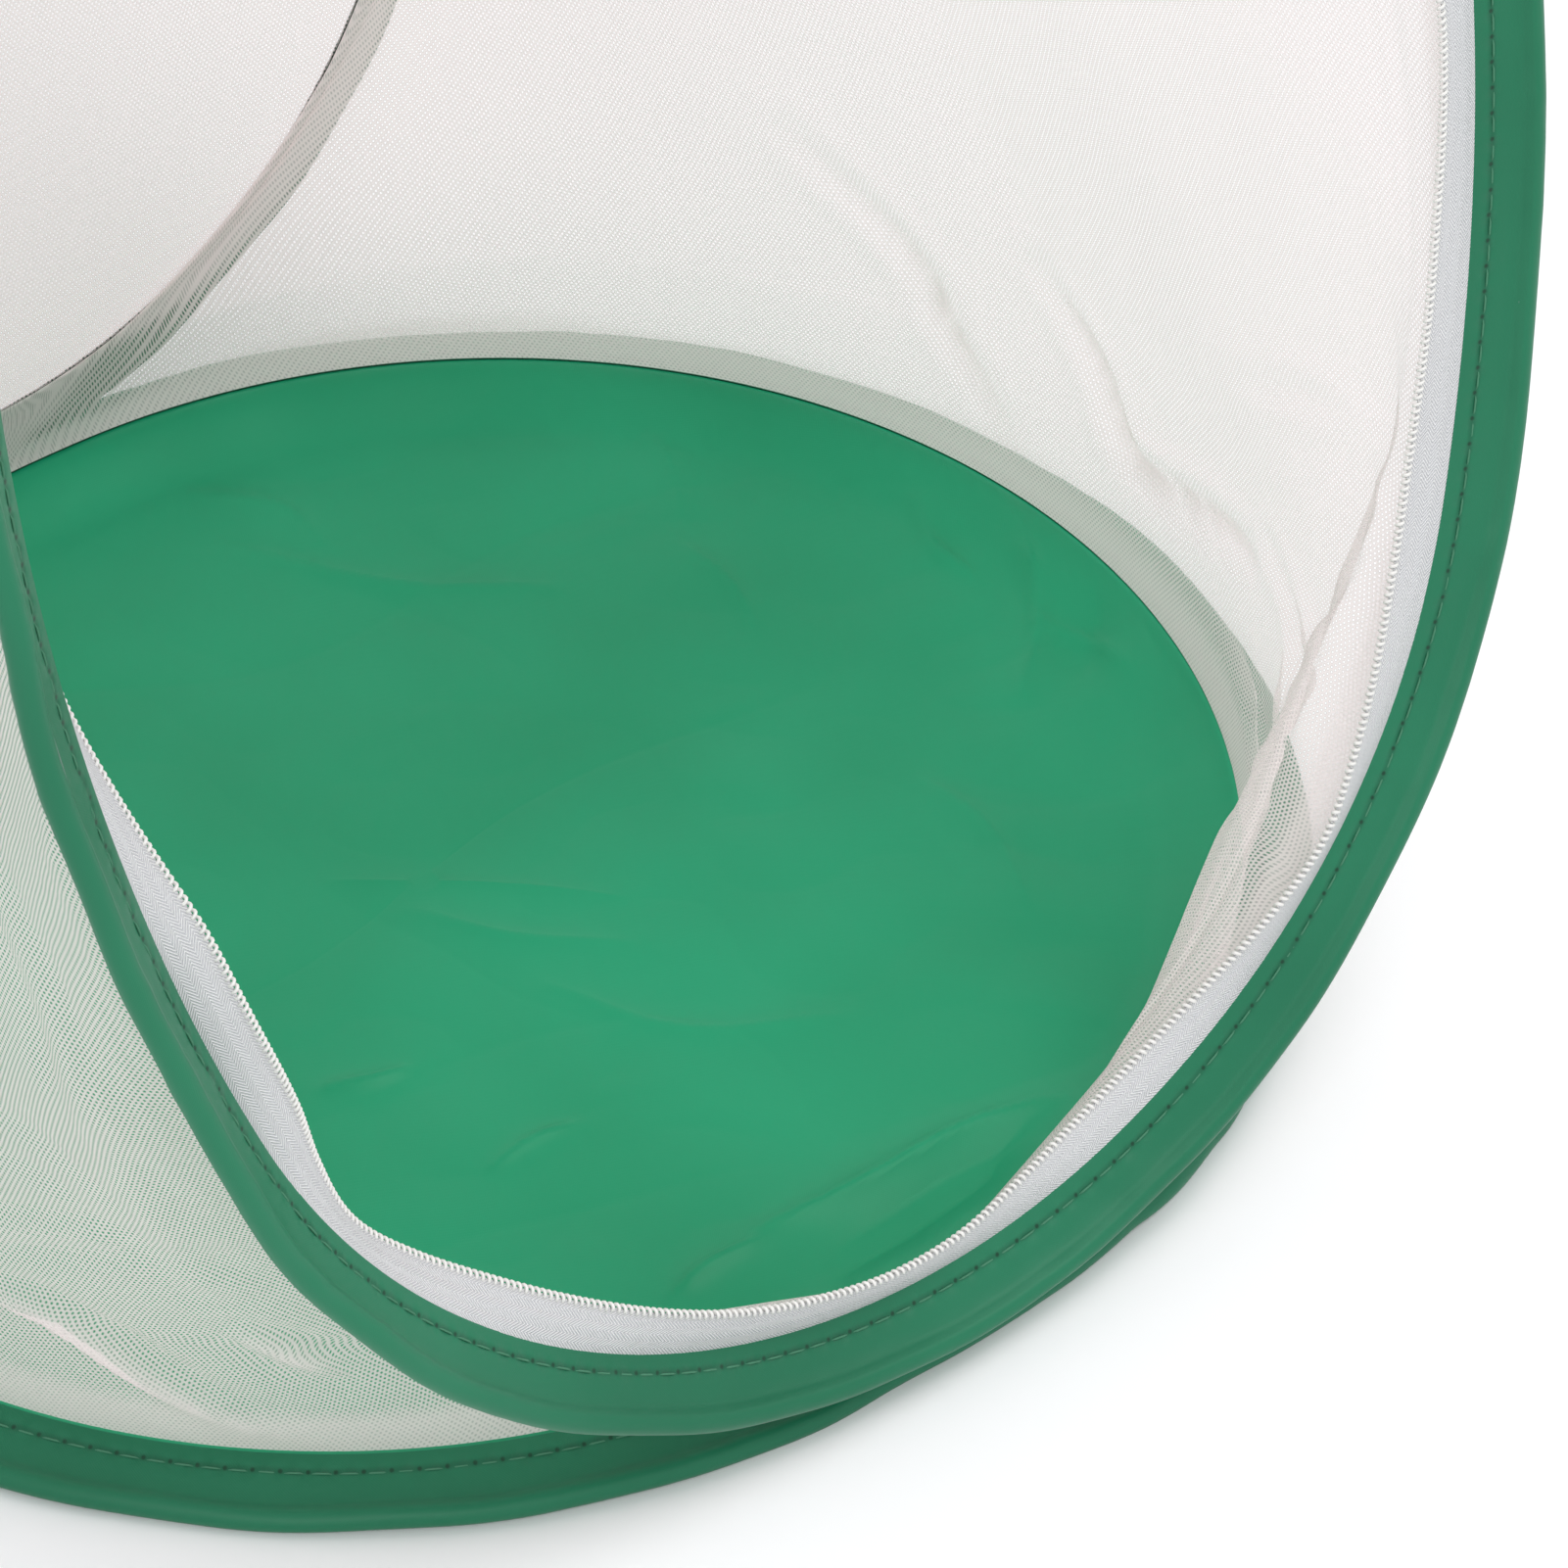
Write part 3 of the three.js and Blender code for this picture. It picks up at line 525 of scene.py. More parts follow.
def sleeve_frame(loop, length, flare_of):
    """Seam points, and the directions along the strip and through it, at lengths along a seam."""
    place, facing = loop.outline.at(length)
    seam = loop.place(place)
    outward = facing[..., :1] * loop.x + facing[..., 1:2] * loop.y
    flare = flare_of(facing)[..., None]
    strip = outward * np.cos(flare) + loop.out * np.sin(flare)
    through = loop.out * np.cos(flare) - outward * np.sin(flare)
    return seam, strip, through


def make_sleeve(name, body, node, loop, flare_of, seed, slack, held):
    """The folded strip round its loop, with soft waves, looser where slack and calm where held."""
    count = ROUND_STEPS * 2
    length = loop.outline.around(count)
    seam, strip, through = sleeve_frame(loop, length, flare_of)
    s, t = section[:, 0], section[:, 1]
    points = seam[:, None] + strip[:, None] * s[None, :, None] + through[:, None] * t[None, :, None]
    free = np.clip((s - STITCH_LINE) / 6, 0, 1) ** 1.5
    creased = np.clip(s / 3, 0, 1) * np.clip((SLEEVE + 1 - s) / 6, 0, 1)
    _, facing = loop.outline.at(length)
    loose = slack * np.exp(-((facing - np.array(SLACK_SIDE)) ** 2).sum(-1) / SLACK_SPREAD)[:, None]
    calm = smooth_step(held * facing[:, 1], *CALM)[:, None]
    beside = np.broadcast_to(seam[:, None], points.shape)
    slow = np.tanh(ripple(beside, seed, SLOW_WAVE) * SLOW_GAIN)
    quick = np.abs(ripple(points, seed + 1, QUICK_WAVE)) ** 1.5 * (QUICK_HEIGHT + QUICK_SLACK * loose)
    pushed = (slow * free + quick * creased * np.sign(t)) * (1 - calm)
    points = points + through[:, None] * pushed[..., None]
    reach = np.tanh(ripple(beside, seed + 2, REACH_WAVE) * REACH_GAIN) * REACH_HEIGHT
    reach = reach + loose * np.abs(ripple(beside, seed + 3, SLACK_WAVE)) * SLACK_HEIGHT
    points = points + strip[:, None] * (reach * free * (1 - calm))[..., None]
    points[..., 2] = np.maximum(points[..., 2], 0)
    whole = 4 * loop.outline.quarter
    u = np.append(length, whole)[:, None] * (round(whole / STITCH_PITCH) * STITCH_PITCH / whole)
    v = np.where(section_length < sleeve_cut / 2, section_length, sleeve_cut - section_length)[None, :]
    faces, uvs = grid(points, u, v, wrap_rows=True)
    piece = new_mesh(name, points.reshape(-1, 3), faces, uvs, sleeve_nylon)
    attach(piece, body)
    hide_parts(node)


def make_stitches(name, body, loop, flare_of):
    """One short raised stitch after another on both faces of the strip."""
    whole = 4 * loop.outline.quarter
    count = round(whole / STITCH_PITCH)
    start = np.arange(count) * whole / count
    along = np.array([0.0, 0.22, 0.78, 1.0]) * STITCH_LENGTH
    sizes = np.array([0.35, 1.0, 1.0, 0.35]) * THREAD / 2
    sides = 6
    turn = np.arange(sides) * 2 * math.pi / sides
    points, faces = [], []
    for face_side in (1, -1):
        seam, strip, through = sleeve_frame(loop, start[:, None] + along[None, :], flare_of)
        sunk = np.array([0.1, 0.34, 0.34, 0.1]) + 0.22
        middle = seam + strip * STITCH_LINE + through * (face_side * sunk)[None, :, None]
        ring = (strip[:, :, None] * np.cos(turn)[:, None] + through[:, :, None] * np.sin(turn)[:, None])
        tube = middle[:, :, None] + ring * sizes[None, :, None, None]
        first = sum(len(p) for p in points)
        points.append(tube.reshape(-1, 3))
        block = len(along) * sides
        for k in range(count):
            at = first + k * block
            for i in range(len(along) - 1):
                for j in range(sides):
                    n = (j + 1) % sides
                    faces.append((at + i * sides + j, at + i * sides + n,
                                  at + (i + 1) * sides + n, at + (i + 1) * sides + j))
            faces.append(tuple(at + j for j in reversed(range(sides))))
            faces.append(tuple(at + block - sides + j for j in range(sides)))
    piece = new_mesh(name, np.concatenate(points), faces, None, thread_cotton)
    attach(piece, body)


def constant(angle):
    return lambda facing: np.full(facing.shape[:-1], angle)


def front_flare(facing):
    return UPRIGHT_FLARE - FLARE_SWING * facing[..., 0]


LOOPS = {
    "base": ("base", base, constant(-BASE_FLARE), 11),
    "front": ("front_loop", front, front_flare, 21),
    "back": ("back_loop", back, constant(UPRIGHT_FLARE), 31),
    "roof": ("roof_loop", roof, constant(ROOF_FLARE), 41),
}
for name, (body, loop, flare_of, seed) in LOOPS.items():
    make_sleeve(name + "_sleeve_cloth", body, name + "_sleeve", loop, flare_of, seed,
                slack=name == "base", held=name == "roof")
    make_stitches(name + "_stitches", body, loop, flare_of)


# ---- floor, roof and back panels

def beside_chain(points, chain):
    """Distance to a chain of straight lines, and a height share that fades to its two ends."""
    chain = spline(np.array(chain, float), 5)
    nearest, taper = np.full(points.shape[:-1], 1e9), np.zeros(points.shape[:-1])
    for k, (a, b) in enumerate(zip(chain, chain[1:])):
        share = np.clip(((points - a) @ (b - a)) / ((b - a) @ (b - a)), 0, 1)
        away = np.linalg.norm(points - (a + share[..., None] * (b - a)), axis=-1)
        here = (k + share) / (len(chain) - 1)
        taper = np.where(away < nearest, np.sin(np.pi * (0.05 + 0.9 * here)) ** 0.6, taper)
        nearest = np.minimum(nearest, away)
    return nearest, taper


def panel_points(loop, rings, columns, height_of):
    """Rings of points from the seam to the middle of a loop, and the height of each."""
    length = loop.outline.around(columns)
    place, _ = loop.outline.at(length)
    share = np.linspace(1, 0.02, rings)[:, None, None]
    flat = place[None] * share
    distance = np.linalg.norm(place, axis=1)[None, :] * (1 - share[..., 0])
    return flat, height_of(flat, distance)


def make_panel(name, body, node, loop, height_of, material, rings=60, columns=ROUND_STEPS):
    """A cloth that fills a loop, from its seam to its middle."""
    flat, height = panel_points(loop, rings, columns, height_of)
    points = loop.place(flat, height)
    u = np.concatenate([flat[..., 0], flat[:, :1, 0]], 1)
    v = np.concatenate([flat[..., 1], flat[:, :1, 1]], 1)
    faces, uvs = grid(points, u, v, wrap_columns=True)
    faces = faces.tolist() + [tuple((rings - 1) * columns + j for j in range(columns))]
    middle = flat[-1].reshape(-1, 2)
    uvs = np.concatenate([uvs.reshape(-1, 2), middle])
    piece = new_mesh(name, points.reshape(-1, 3), faces, uvs, material)
    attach(piece, body)
    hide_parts(node)


def floor_height(flat, distance):
    """The floor falls from its seam to the ground, pleated at the seam and creased all over."""
    slope = np.clip(distance / FLOOR_SLOPE, 0, 1)
    fall = (seam_height - FLOOR_LIFT) * (1 - np.cos(math.pi * slope)) / 2
    place = on_plane(flat)
    angle = np.arctan2(flat[..., 1], flat[..., 0])
    pleats = np.sin(PLEATS * angle + ripple(place, 5, 160) * PLEAT_SWAY)
    pleats = pleats * np.exp(-distance / PLEAT_REACH) * np.clip(distance / PLEAT_RISE, 0, 1)
    soft = np.abs(ripple(place, 6, 90)) ** 0.7 * 0.9 + np.abs(ripple(place, 7, 40)) * 0.35
    creases = np.zeros(distance.shape)
    for height, width, chain in FLOOR_CREASES:
        nearest, taper = beside_chain(flat, chain)
        creases += height * taper * np.exp(-nearest / width)
    height = -fall + pleats * PLEAT_HEIGHT + (soft + creases) * np.clip(distance / CREASE_RISE, 0, 1)
    return np.maximum(height, FLOOR_LEAST - seam_height)


def taut_height(flat, distance):
    """A taut net, with waves that are barely seen."""
    place = on_plane(flat)
    return ripple(place, 9, 130) * 0.8 * np.clip(distance / 40, 0, 1)


make_panel("floor_cloth", "base", "floor_panel", base, floor_height, floor_nylon, 150, 540)
make_panel("roof_net", "roof_loop", "roof_mesh", roof, taut_height, mesh_net)
make_panel("back_net", "back_loop", "back_mesh", back, taut_height, mesh_net)


# ---- end walls: a taut sheet between the four seams, cut into a gore for each loop
# The coarse sheet is the model's own, drawn between the same stations, and the fine one follows it.

def station_lengths(outline, flat_steps, parts=1):
    """Lengths along a quarter of a seam at the model's stations, with some parts between each two."""
    tight = np.linspace(0, outline.meeting * outline.tight, TIGHT_STEPS * parts + 1)
    flat = np.linspace(tight[-1], outline.quarter, flat_steps * parts + 1)
    return np.concatenate([tight, flat[1:]])


def half_seam(loop, side, flat_steps, height, parts):
    """Points along the left or right half of a seam, from front to back or from foot to crown."""
    quarter = loop.outline.quarter
    steps = station_lengths(loop.outline, flat_steps, parts)
    if loop.outline.upright:
        run = np.concatenate([steps, 2 * quarter - steps[-2::-1]])
        length = 2 * quarter - side * loop.x[0] * run
    else:
        run = np.concatenate([quarter - steps[::-1], quarter + steps[1:]])
        length = 3 * quarter + side * run
    points = loop.along(length, -0.5, height)
    points[[0, -1], 0] = side * 0.2
    return points


def seams(side, parts):
    low, high = (half_seam(loop, side, 1, height, parts) for loop, height in ((base, 0.9), (roof, -0.9)))
    near, far = (half_seam(loop, side, 2, -0.9, parts) for loop in (front, back))
    return low, high, near, far


def swell(points, side):
    """Points of a taut wall, moved out where the real one hangs outwards."""
    behind, above = points[..., 1] + BASE_HALF_DEPTH, points[..., 2] - seam_height
    share = (smooth_step(behind, SWELL_Y[0], SWELL_Y[1]) * (1 - smooth_step(behind, SWELL_Y[2], SWELL_Y[3]))
             * np.sin(np.pi / 2 * np.clip(above / SWELL_Z[0], 0, 1))
             * (1 - smooth_step(above, SWELL_Z[1], SWELL_Z[2])))
    outward = np.array([side * math.cos(SWELL_TURN), -math.sin(SWELL_TURN), 0])
    return points + SWELL * share[..., None] * outward


def coarse_wall(side):
    """The model's sheet: it settles between its seams and then takes the swell."""
    low, high, near, far = seams(side, 1)
    rise = np.linspace(0, 1, len(near))[None, :, None]
    points = np.concatenate([near[None], low[:, None] * (1 - rise) + high[:, None] * rise, far[None]])
    for taut in [False] * EVEN_ROUNDS + [True] * TAUT_ROUNDS:
        here = points[1:-1, 1:-1]
        around = [points[2:, 1:-1], points[:-2, 1:-1], points[1:-1, 2:], points[1:-1, :-2]]
        if taut:
            wide = [np.linalg.norm(around[2] - around[3], axis=-1),
                    np.linalg.norm(around[0] - around[1], axis=-1)]
            pull = [wide[k // 2] / np.linalg.norm(q - here, axis=-1) for k, q in enumerate(around)]
        else:
            pull = [np.ones(here.shape[:-1])] * 4
        points[1:-1, 1:-1] = sum(q * w[..., None] for q, w in zip(around, pull)) / sum(pull)[..., None]
    points[1:-1, 1:-1] = swell(points[1:-1, 1:-1], side)
    return points


def fine_wall(side):
    """The coarse sheet made smooth, with its rim moved onto the seams' true arcs."""
    points = monotone(monotone(coarse_wall(side), WALL_PARTS).swapaxes(0, 1), WALL_PARTS).swapaxes(0, 1)
    low, high, near, far = seams(side, WALL_PARTS)
    share = np.linspace(0, 1, WALL_PARTS + 1)[:-1, None]
    rims = []
    for rim, k in ((low, 0), (high, -1)):
        start = near[k] + (rim[0] - near[k]) * share
        end = far[k] + (rim[-1] - far[k]) * share
        rims.append(np.concatenate([start, rim, end[::-1]]) - points[:, k])
    u, v = (np.linspace(0, 1, n)[:, None] for n in points.shape[:2])
    points = points + rims[0][:, None] * (1 - v)[None] ** 4 + rims[1][:, None] * v[None] ** 4
    rims = [near - points[0], far - points[-1]]
    return points + rims[0][None] * (1 - u)[:, None] ** 4 + rims[1][None] * u[:, None] ** 4


def folds_at(points, side):
    """Height of the folds that run across a wall, and how much the net doubles up at their crests."""
    total, doubled = np.zeros(points.shape[:-1]), np.zeros(points.shape[:-1])
    for height, width, chain in WALL_FOLDS[side]:
        nearest, taper = beside_chain(points, chain)
        ratio = nearest / width
        trough = np.exp(-((ratio - TROUGH_PLACE) / TROUGH_WIDTH) ** 2)
        total += height * taper * (np.exp(-ratio**2) - TROUGH * trough)
        doubled += taper * np.exp(-((nearest / CREST) ** 2))
    return total, np.clip(doubled, 0, 1)


def surface_normals(points):
    along = np.gradient(points, axis=0)
    across = np.gradient(points, axis=1)
    normal = np.cross(along, across)
    return normal / np.maximum(np.linalg.norm(normal, axis=-1, keepdims=True), 1e-9)


def rim_distance(points):
    """Distance along the cloth from the nearest seam."""
    nearest = np.full(points.shape[:2], 1e9)
    for axis in (0, 1):
        steps = np.linalg.norm(np.diff(points, axis=axis), axis=-1)
        start = np.zeros_like(np.take(steps, [0], axis))
        run = np.concatenate([start, np.cumsum(steps, axis)], axis)
        nearest = np.minimum(nearest, np.minimum(run, np.take(run, [-1], axis) - run))
    return nearest


def cloth_lengths(points):
    """Lengths along the cloth in both directions, from its middle lines."""
    n = len(points) - 1
    steps_u = np.linalg.norm(np.diff(points, axis=0), axis=-1)
    steps_v = np.linalg.norm(np.diff(points, axis=1), axis=-1)
    u = np.concatenate([np.zeros((1, n + 1)), np.cumsum(steps_u, 0)])
    v = np.concatenate([np.zeros((n + 1, 1)), np.cumsum(steps_v, 1)], 1)
    return u - u[n // 2][None, :], v - v[:, n // 2][:, None]


def gore_faces(inside, u, v):
    """The faces of a wall's grid that lie in one gore, and their UVs."""
    index = -np.ones(inside.shape, int)
    index[inside] = np.arange(inside.sum())
    faces, uvs = [], []
    for a in range(len(inside) - 1):
        for b in range(len(inside) - 1):
            corners = [(a, b), (a + 1, b), (a + 1, b + 1), (a, b + 1)]
            held = [c for c in corners if index[c] >= 0]
            if len(held) >= 3:
                faces.append([index[c] for c in held])
                uvs.extend((u[c], v[c]) for c in held)
    return faces, uvs


def wall_surface(side):
    """Points of a wall with its waves and folds, their normals, and how much the net doubles up."""
    points = fine_wall(side)
    n = len(points) - 1
    share = np.minimum(np.arange(n + 1) / n, 1 - np.arange(n + 1) / n)
    edge = np.minimum(share[:, None], share[None, :])
    waves = ripple(points, 50 + side, 120) * 0.9 + ripple(points, 60 + side, 40) * 0.4
    height, doubled = folds_at(points, side)
    doubled = np.maximum(doubled, HEM_SHARE * (1 - smooth_step(rim_distance(points), *HEM)))
    lift = waves * np.clip(edge / WAVE_FADE, 0, 1) + height * np.clip(edge / FOLD_FADE, 0, 1)
    points = points + surface_normals(points) * side * lift[..., None]
    return points, surface_normals(points), doubled


def make_wall(side_name, side):
    """One end wall, cut along its diagonals into a gore for each loop."""
    points, normal, doubled = wall_surface(side)
    u, v = cloth_lengths(points)
    n = len(points) - 1
    i, j = np.meshgrid(np.arange(n + 1), np.arange(n + 1), indexing="ij")
    gores = {
        "base": ("base", base, (j <= i) & (j <= n - i)),
        "front": ("front_loop", front, (i <= j) & (i <= n - j)),
        "roof": ("roof_loop", roof, (j >= i) & (j >= n - i)),
        "back": ("back_loop", back, (i >= j) & (i >= n - j)),
    }
    for gore, (body, plane, inside) in gores.items():
        faces, uvs = gore_faces(inside, u, v)
        piece = new_mesh(f"{side_name}_{gore}_net", points[inside], faces, uvs, mesh_net)
        piece.data.normals_split_custom_set_from_vertices(normal[inside].tolist())
        piece.data.attributes.new("doubled", "FLOAT", "POINT").data.foreach_set("value", doubled[inside])
        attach(piece, body)
        if gore == "base":
            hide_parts(side_name + "_end_mesh")
        if gore == "base":
            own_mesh(piece)
        else:
            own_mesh(piece)


make_wall("left", -1)
make_wall("right", 1)


# ---- the door flap and the zip

def crown_length(steps):
    """Length along the front seam from the crown, after a number of the outline's steps."""
    return steps * loop_oval.meeting / TIGHT_STEPS * loop_oval.tight


def zip_ends(steps):
    """Lengths along the seam at the zip's right end and, round the foot, at its left end."""
    start = crown_length(steps)
    return start, 4 * loop_oval.quarter - start


def turned_in(points, length):
    """The doorway's half of the zip hangs limp, turned about its seam."""
    turns = spline(np.radians(ZIP_TURNS)[:, None], 10)[:, 0]
    places = ZIP_TURN_START + np.arange(len(turns)) * ZIP_TURN_STEP / 10
    angle = np.interp(length - 2 * loop_oval.quarter, places, turns)
    angle = angle.reshape((-1,) + (1,) * (points.ndim - 1))
    seam, facing = loop_oval.at(length)
    seam = front.place(seam)
    outward = facing[..., :1] * front.x + facing[..., 1:2] * front.y
    while seam.ndim < points.ndim:
        seam, outward = seam[:, None], outward[:, None]
    away = points - seam
    along = (away * outward).sum(-1, keepdims=True)
    off = (away * front.out).sum(-1, keepdims=True)
    rest = away - along * outward - off * front.out
    turn_along = along * np.cos(angle) - off * np.sin(angle)
    turn_off = along * np.sin(angle) + off * np.cos(angle)
    return seam + rest + turn_along * outward + turn_off * front.out


def lay_flat(piece):
    """Gives the zip piece its own copy of its mesh."""
    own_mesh(piece)


def make_tape(name, body, node, steps, inner, outer, opened):
    """A flat woven band with rounded edges, between two distances inside the seam."""
    start, end = zip_ends(steps)
    length = np.linspace(start, end, int((end - start) / TAPE_STEP))
    profile = np.array([(-outer, 0.1), (-outer - 0.3, 0.3), (-inner + 0.3, 0.3), (-inner, 0.1),
                        (-inner, -0.1), (-inner + 0.3, -0.3), (-outer - 0.3, -0.3), (-outer, -0.1)])
    points = np.stack([front.along(length, r, h) for r, h in profile], 1)
    points = thrown_open(points) if opened else turned_in(points, length)
    v = np.append(profile[:, 0], profile[0, 0])[None, :]
    faces, uvs = grid(points, length[:, None], v, wrap_columns=True)
    faces = capped(faces, len(profile), len(length) - 1)
    uvs = np.concatenate([uvs.reshape(-1, 2), np.zeros((2 * len(profile), 2))])
    piece = new_mesh(name, points.reshape(-1, 3), faces, uvs, tape_cloth)
    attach(piece, body)
    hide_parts(node)
    if not opened:
        lay_flat(piece)


def make_coil(name, body, node, steps, middle, opened):
    """The nylon coil: one wound loop after another along the tape's edge."""
    start, end = zip_ends(steps)
    turns = int((end - start) * (1 - middle / loop_oval.tight * COIL_FIT) / COIL_PITCH)
    per_turn, sides = 10, 5
    step = np.arange(turns * per_turn + 1)
    length = start + (end - start) * step / step[-1]
    phase = 2 * math.pi * step / per_turn
    half = (COIL - COIL_WIRE) / 2
    outward = -middle + half * np.cos(phase)
    height = half * COIL_FLATNESS * np.sin(phase)
    line = front.along(length, outward, height)
    tangent = np.gradient(line, axis=0)
    tangent /= np.linalg.norm(tangent, axis=1, keepdims=True)
    centre = front.along(length, -middle, 0)
    side = line - centre
    side -= tangent * (side * tangent).sum(1, keepdims=True)
    side /= np.linalg.norm(side, axis=1, keepdims=True)
    other = np.cross(tangent, side)
    turn = np.arange(sides) * 2 * math.pi / sides
    tube = line[:, None] + COIL_WIRE / 2 * (side[:, None] * np.cos(turn)[None, :, None]
                                            + other[:, None] * np.sin(turn)[None, :, None])
    tube = thrown_open(tube) if opened else turned_in(tube, length)
    faces, _ = grid(tube, 0.0, 0.0, wrap_columns=True)
    faces = capped(faces, sides, len(line) - 1)
    piece = new_mesh(name, tube.reshape(-1, 3), faces, None, coil_plastic)
    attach(piece, body)
    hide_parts(node)
    if not opened:
        lay_flat(piece)


pair_middle = TAPE + COIL / 2 + COIL_GAP / 2
door_coil = pair_middle + COIL_GAP / 2
door_tape = door_coil + COIL + ZIP_GAP
door_edge = door_tape + DOOR_TAPE + ZIP_GAP
make_tape("frame_tape_cloth", "front_loop", "frame_zip_tape", FRAME_ZIP_STEPS, TAPE, -0.4, False)
make_coil("frame_coil", "front_loop", "frame_zip_coil", FRAME_ZIP_STEPS, TAPE, False)
make_tape("door_tape_cloth", "door", "door_zip_tape", DOOR_ZIP_STEPS, door_edge - ZIP_GAP,
          door_coil + COIL / 2, True)
make_coil("door_coil", "door", "door_zip_coil", DOOR_ZIP_STEPS, door_coil + COIL / 2, True)


def make_flap():
    """The flap's net: rows across it from the foot to its neck, and up the neck to the hinge."""
    length = np.linspace(crown_length(DOOR_ZIP_STEPS), 2 * loop_oval.quarter, 400)
    place, facing = loop_oval.at(length)
    rim = place - facing * (door_edge - 4)
    zip_top = rim[0, 1]
    bend = LOOP_HALF_HEIGHT - door_edge - BEND_RISE
    share = np.linspace(0.02, 1, 80)
    row_y = rim[-1, 1] + (zip_top - rim[-1, 1]) * (1 - np.cos(share * math.pi)) / 2
    half = np.interp(row_y, rim[::-1, 1], rim[::-1, 0])
    neck_y = np.array([(zip_top + bend) / 2, bend, (bend + shut_y) / 2, shut_y])
    neck_half = np.array([(half[-1] + NECK_HALF_WIDTH) / 2] + [NECK_HALF_WIDTH] * 3)
    neck_z = np.array([0, 0, shut_z / 2, shut_z])
    row_y, half = np.append(row_y, neck_y), np.append(half, neck_half)
    row_z = np.append(np.zeros(len(share)), neck_z)
    across = np.linspace(-1, 1, 61)
    x = half[:, None] * across[None, :]
    y = np.broadcast_to(row_y[:, None], x.shape)
    flat = np.stack([x, y], -1)
    place = on_plane(flat)
    free = (1 - across[None, :] ** 4) * np.clip((shut_y - y) / 60, 0, 1)
    points = front.place(flat, row_z[:, None] - np.abs(ripple(place, 70, 110)) * 0.5 * free)
    points = thrown_open(points)
    faces, uvs = grid(points, x, y)
    piece = new_mesh("door_net", points.reshape(-1, 3), faces, uvs, mesh_net)
    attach(piece, "door")
    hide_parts("door_mesh")


make_flap()


def make_crown_strip():
    """The net between the crown's seam and the flap's hinge line, up the face of the sleeves."""
    y_z = np.array([(0.2, 0.9), (9.6, 9.4), (19.0, 14.8), (shut_y - LOOP_HALF_HEIGHT, shut_z)])
    y_z[:, 0] += LOOP_HALF_HEIGHT
    across = np.linspace(-1, 1, 25) * NECK_HALF_WIDTH
    flat = np.stack(np.broadcast_arrays(across[None, :], y_z[:, :1]), -1)
    drop = loop_oval.tight - np.sqrt(loop_oval.tight**2 - across**2)
    flat[:-1, :, 1] -= drop[None, :] * np.array([1, 1, 0.5])[:, None]
    points = front.place(flat, np.broadcast_to(y_z[:, 1:], flat.shape[:-1]))
    faces, uvs = grid(points, flat[..., 0], flat[..., 1])
    piece = new_mesh("crown_net", points.reshape(-1, 3), faces, uvs, mesh_net)
    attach(piece, "front_loop")


make_crown_strip()


# ---- model nodes that stay: wires, ferrules, stops, sliders and pulls

SOFT_EDGE = 0.00018
for name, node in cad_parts.items():
    metal = name.endswith(("_wire", "_ferrule"))
    if metal or name.endswith(("_stop", "_slider", "_pull")):
        node.data.materials.clear()
        node.data.materials.append(steel if metal else enamel)
    if name.endswith(("_stop", "_slider", "_pull")):
        bevel = node.modifiers.new("soft edges", "BEVEL")
        bevel.width = SOFT_EDGE
        bevel.segments = 2
        bevel.limit_method = "ANGLE"


# ---- camera, floor and light
# The camera was fitted to the photograph: directions in degrees, places in millimetres

VIEW_AZIMUTH, VIEW_ELEVATION = math.radians(-39.58), math.radians(41.41)
VIEW_DISTANCE, VIEW_RIGHT, VIEW_UP = 1534.4, 78.19, 21.9
FOCAL_PIXELS, PHOTO_PIXELS = 7200, 1601
SENSOR = 36

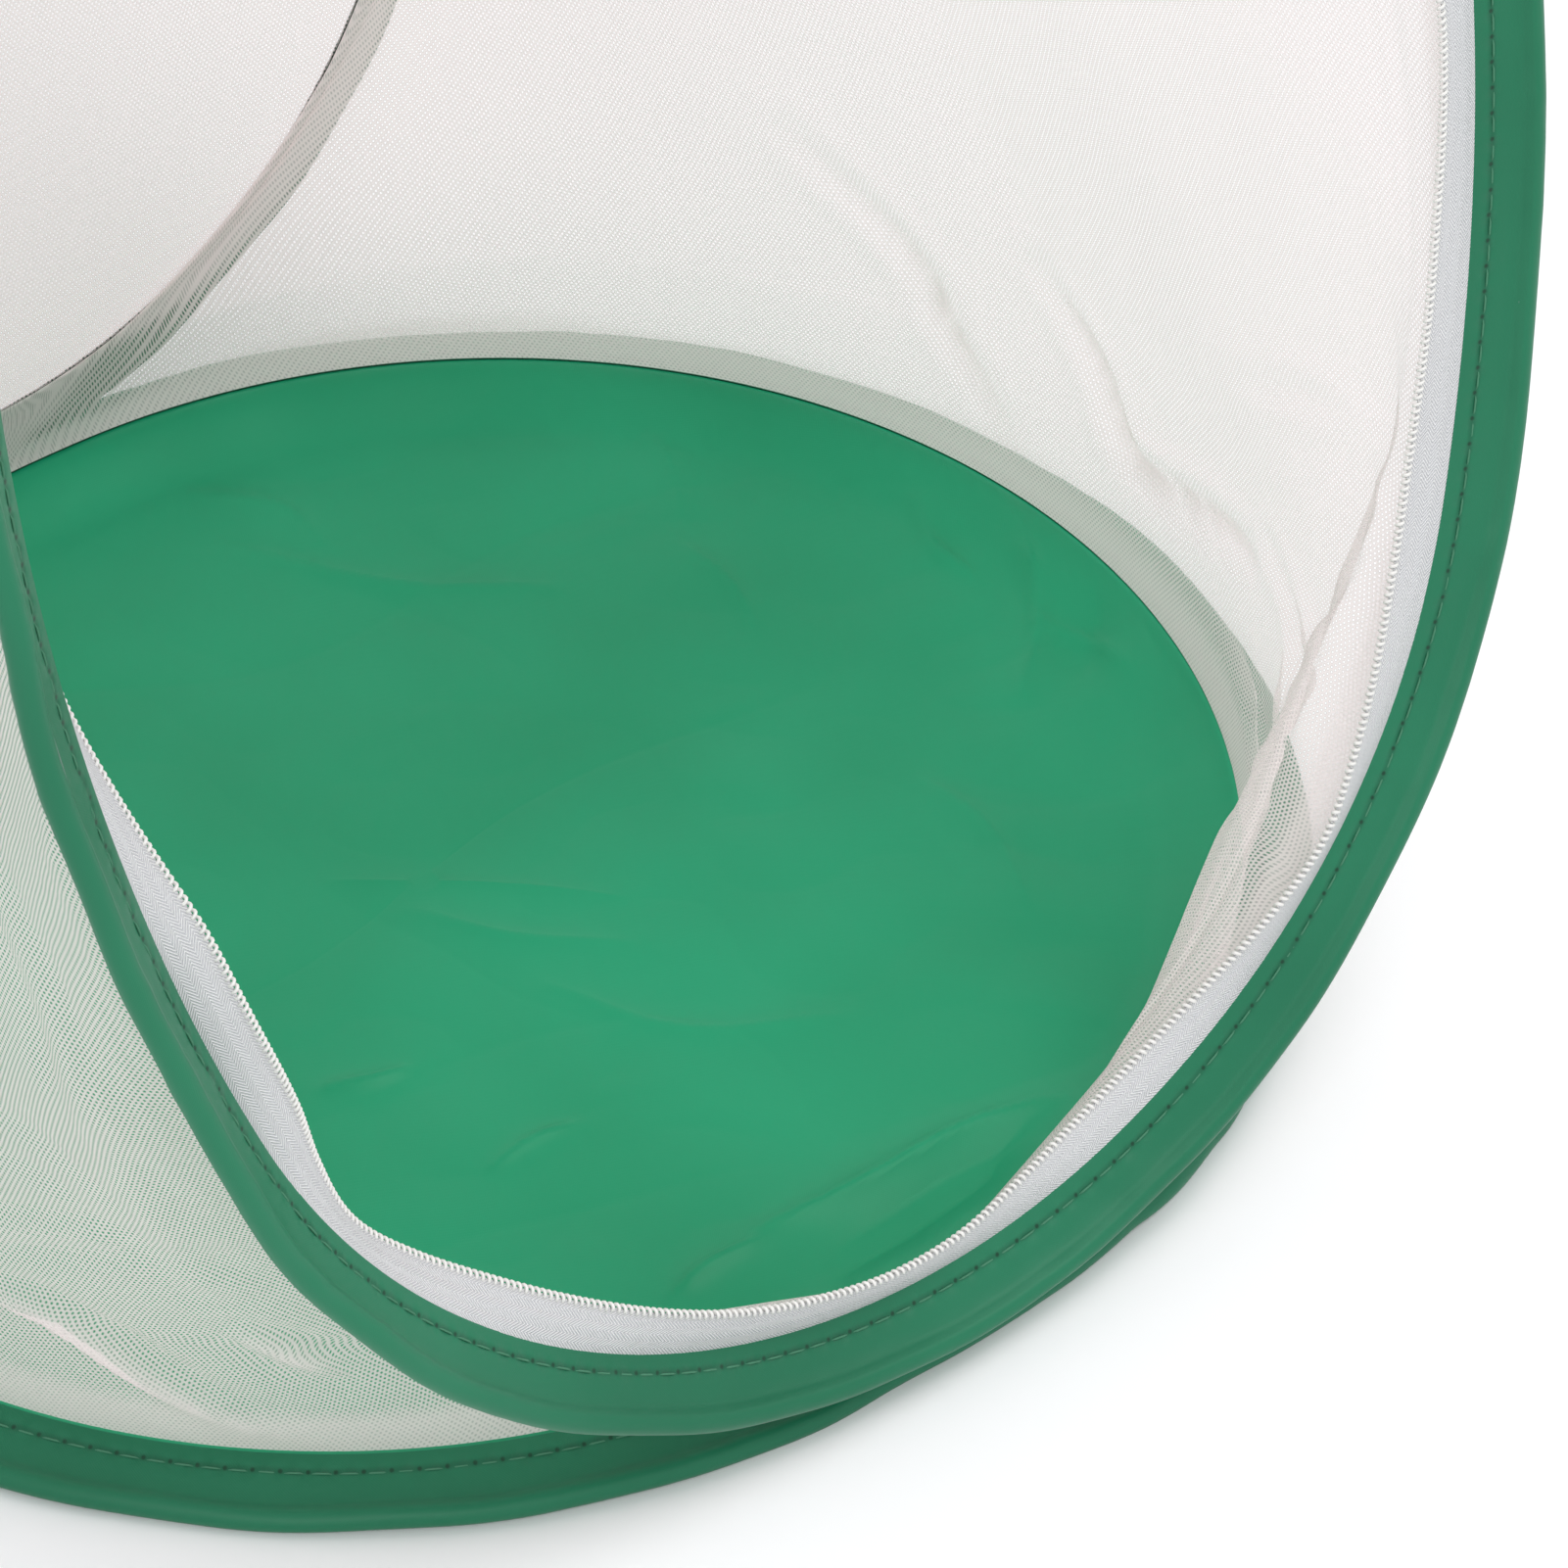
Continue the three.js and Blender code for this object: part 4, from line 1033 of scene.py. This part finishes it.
backward = np.array([math.sin(VIEW_AZIMUTH) * math.cos(VIEW_ELEVATION),
                     -math.cos(VIEW_AZIMUTH) * math.cos(VIEW_ELEVATION), math.sin(VIEW_ELEVATION)])
rightward = np.array([math.cos(VIEW_AZIMUTH), math.sin(VIEW_AZIMUTH), 0])
upward = np.cross(backward, rightward)
lens = bpy.data.cameras.new("camera")
lens.sensor_width = SENSOR
lens.lens = SENSOR * FOCAL_PIXELS / PHOTO_PIXELS
lens.clip_start, lens.clip_end = 0.05, 20
camera = new_object("camera", lens)
camera.location = Vector((backward * VIEW_DISTANCE + rightward * VIEW_RIGHT + upward * VIEW_UP) * MM)
camera.rotation_euler = Vector(-backward).to_track_quat("-Z", "Y").to_euler()
bpy.context.scene.camera = camera


GROUND_HALF, GROUND_DROP, GROUND_TONE = 6.0, 0.0002, 0.93
ground = Material("pale floor")
ground_shader = ground.node("BsdfDiffuse", {"Color": (GROUND_TONE,) * 3 + (1,)}).outputs[0]
floor_object = new_object("floor", bpy.data.meshes.new("floor"))
corners = [(-1, -1), (1, -1), (1, 1), (-1, 1)]
floor_object.data.from_pydata([(x * GROUND_HALF, y * GROUND_HALF, -GROUND_DROP) for x, y in corners],
                              [], [(0, 1, 2, 3)])
floor_object.data.materials.append(ground.finish(ground_shader))

# A soft sky lights the cage, and what looks straight at it sees plain white
SKY_COLOUR, SKY_LIGHT = (0.95, 0.97, 1.0, 1), 0.8
world = bpy.data.worlds.new("studio")
bpy.context.scene.world = world
sky = Nodes(world)
path = sky.node("LightPath").outputs
seen = sky.math("MAXIMUM", path["Is Camera Ray"], path["Is Glossy Ray"])
seen = sky.math("MAXIMUM", seen, path["Is Transmission Ray"])
soft_light = sky.node("Background", {0: SKY_COLOUR, 1: SKY_LIGHT}).outputs[0]
white_back = sky.node("Background", {0: (1, 1, 1, 1), 1: 1.0}).outputs[0]
shown = sky.node("MixShader", {0: seen, 1: soft_light, 2: white_back}).outputs[0]
sky.node("OutputWorld", {0: shown})

LAMP_TARGET = Vector((0, 0.05, 0.25))
LAMPS = [
    ("key", (0.9, -1.0, 2.5), 1.6, 23),
    ("side", (-1.4, -1.4, 1.4), 1.4, 13),
    ("rim", (1.9, 0.1, 1.3), 1.2, 2),
    ("rear", (0.4, 1.9, 1.9), 1.6, 7),
]
for name, place, size, power in LAMPS:
    lamp = bpy.data.lights.new(name, "AREA")
    lamp.size = size
    lamp.energy = power
    holder = new_object(name, lamp)
    holder.location = place
    holder.rotation_euler = (LAMP_TARGET - Vector(place)).to_track_quat("-Z", "Y").to_euler()

bpy.context.scene.view_settings.view_transform = "Standard"
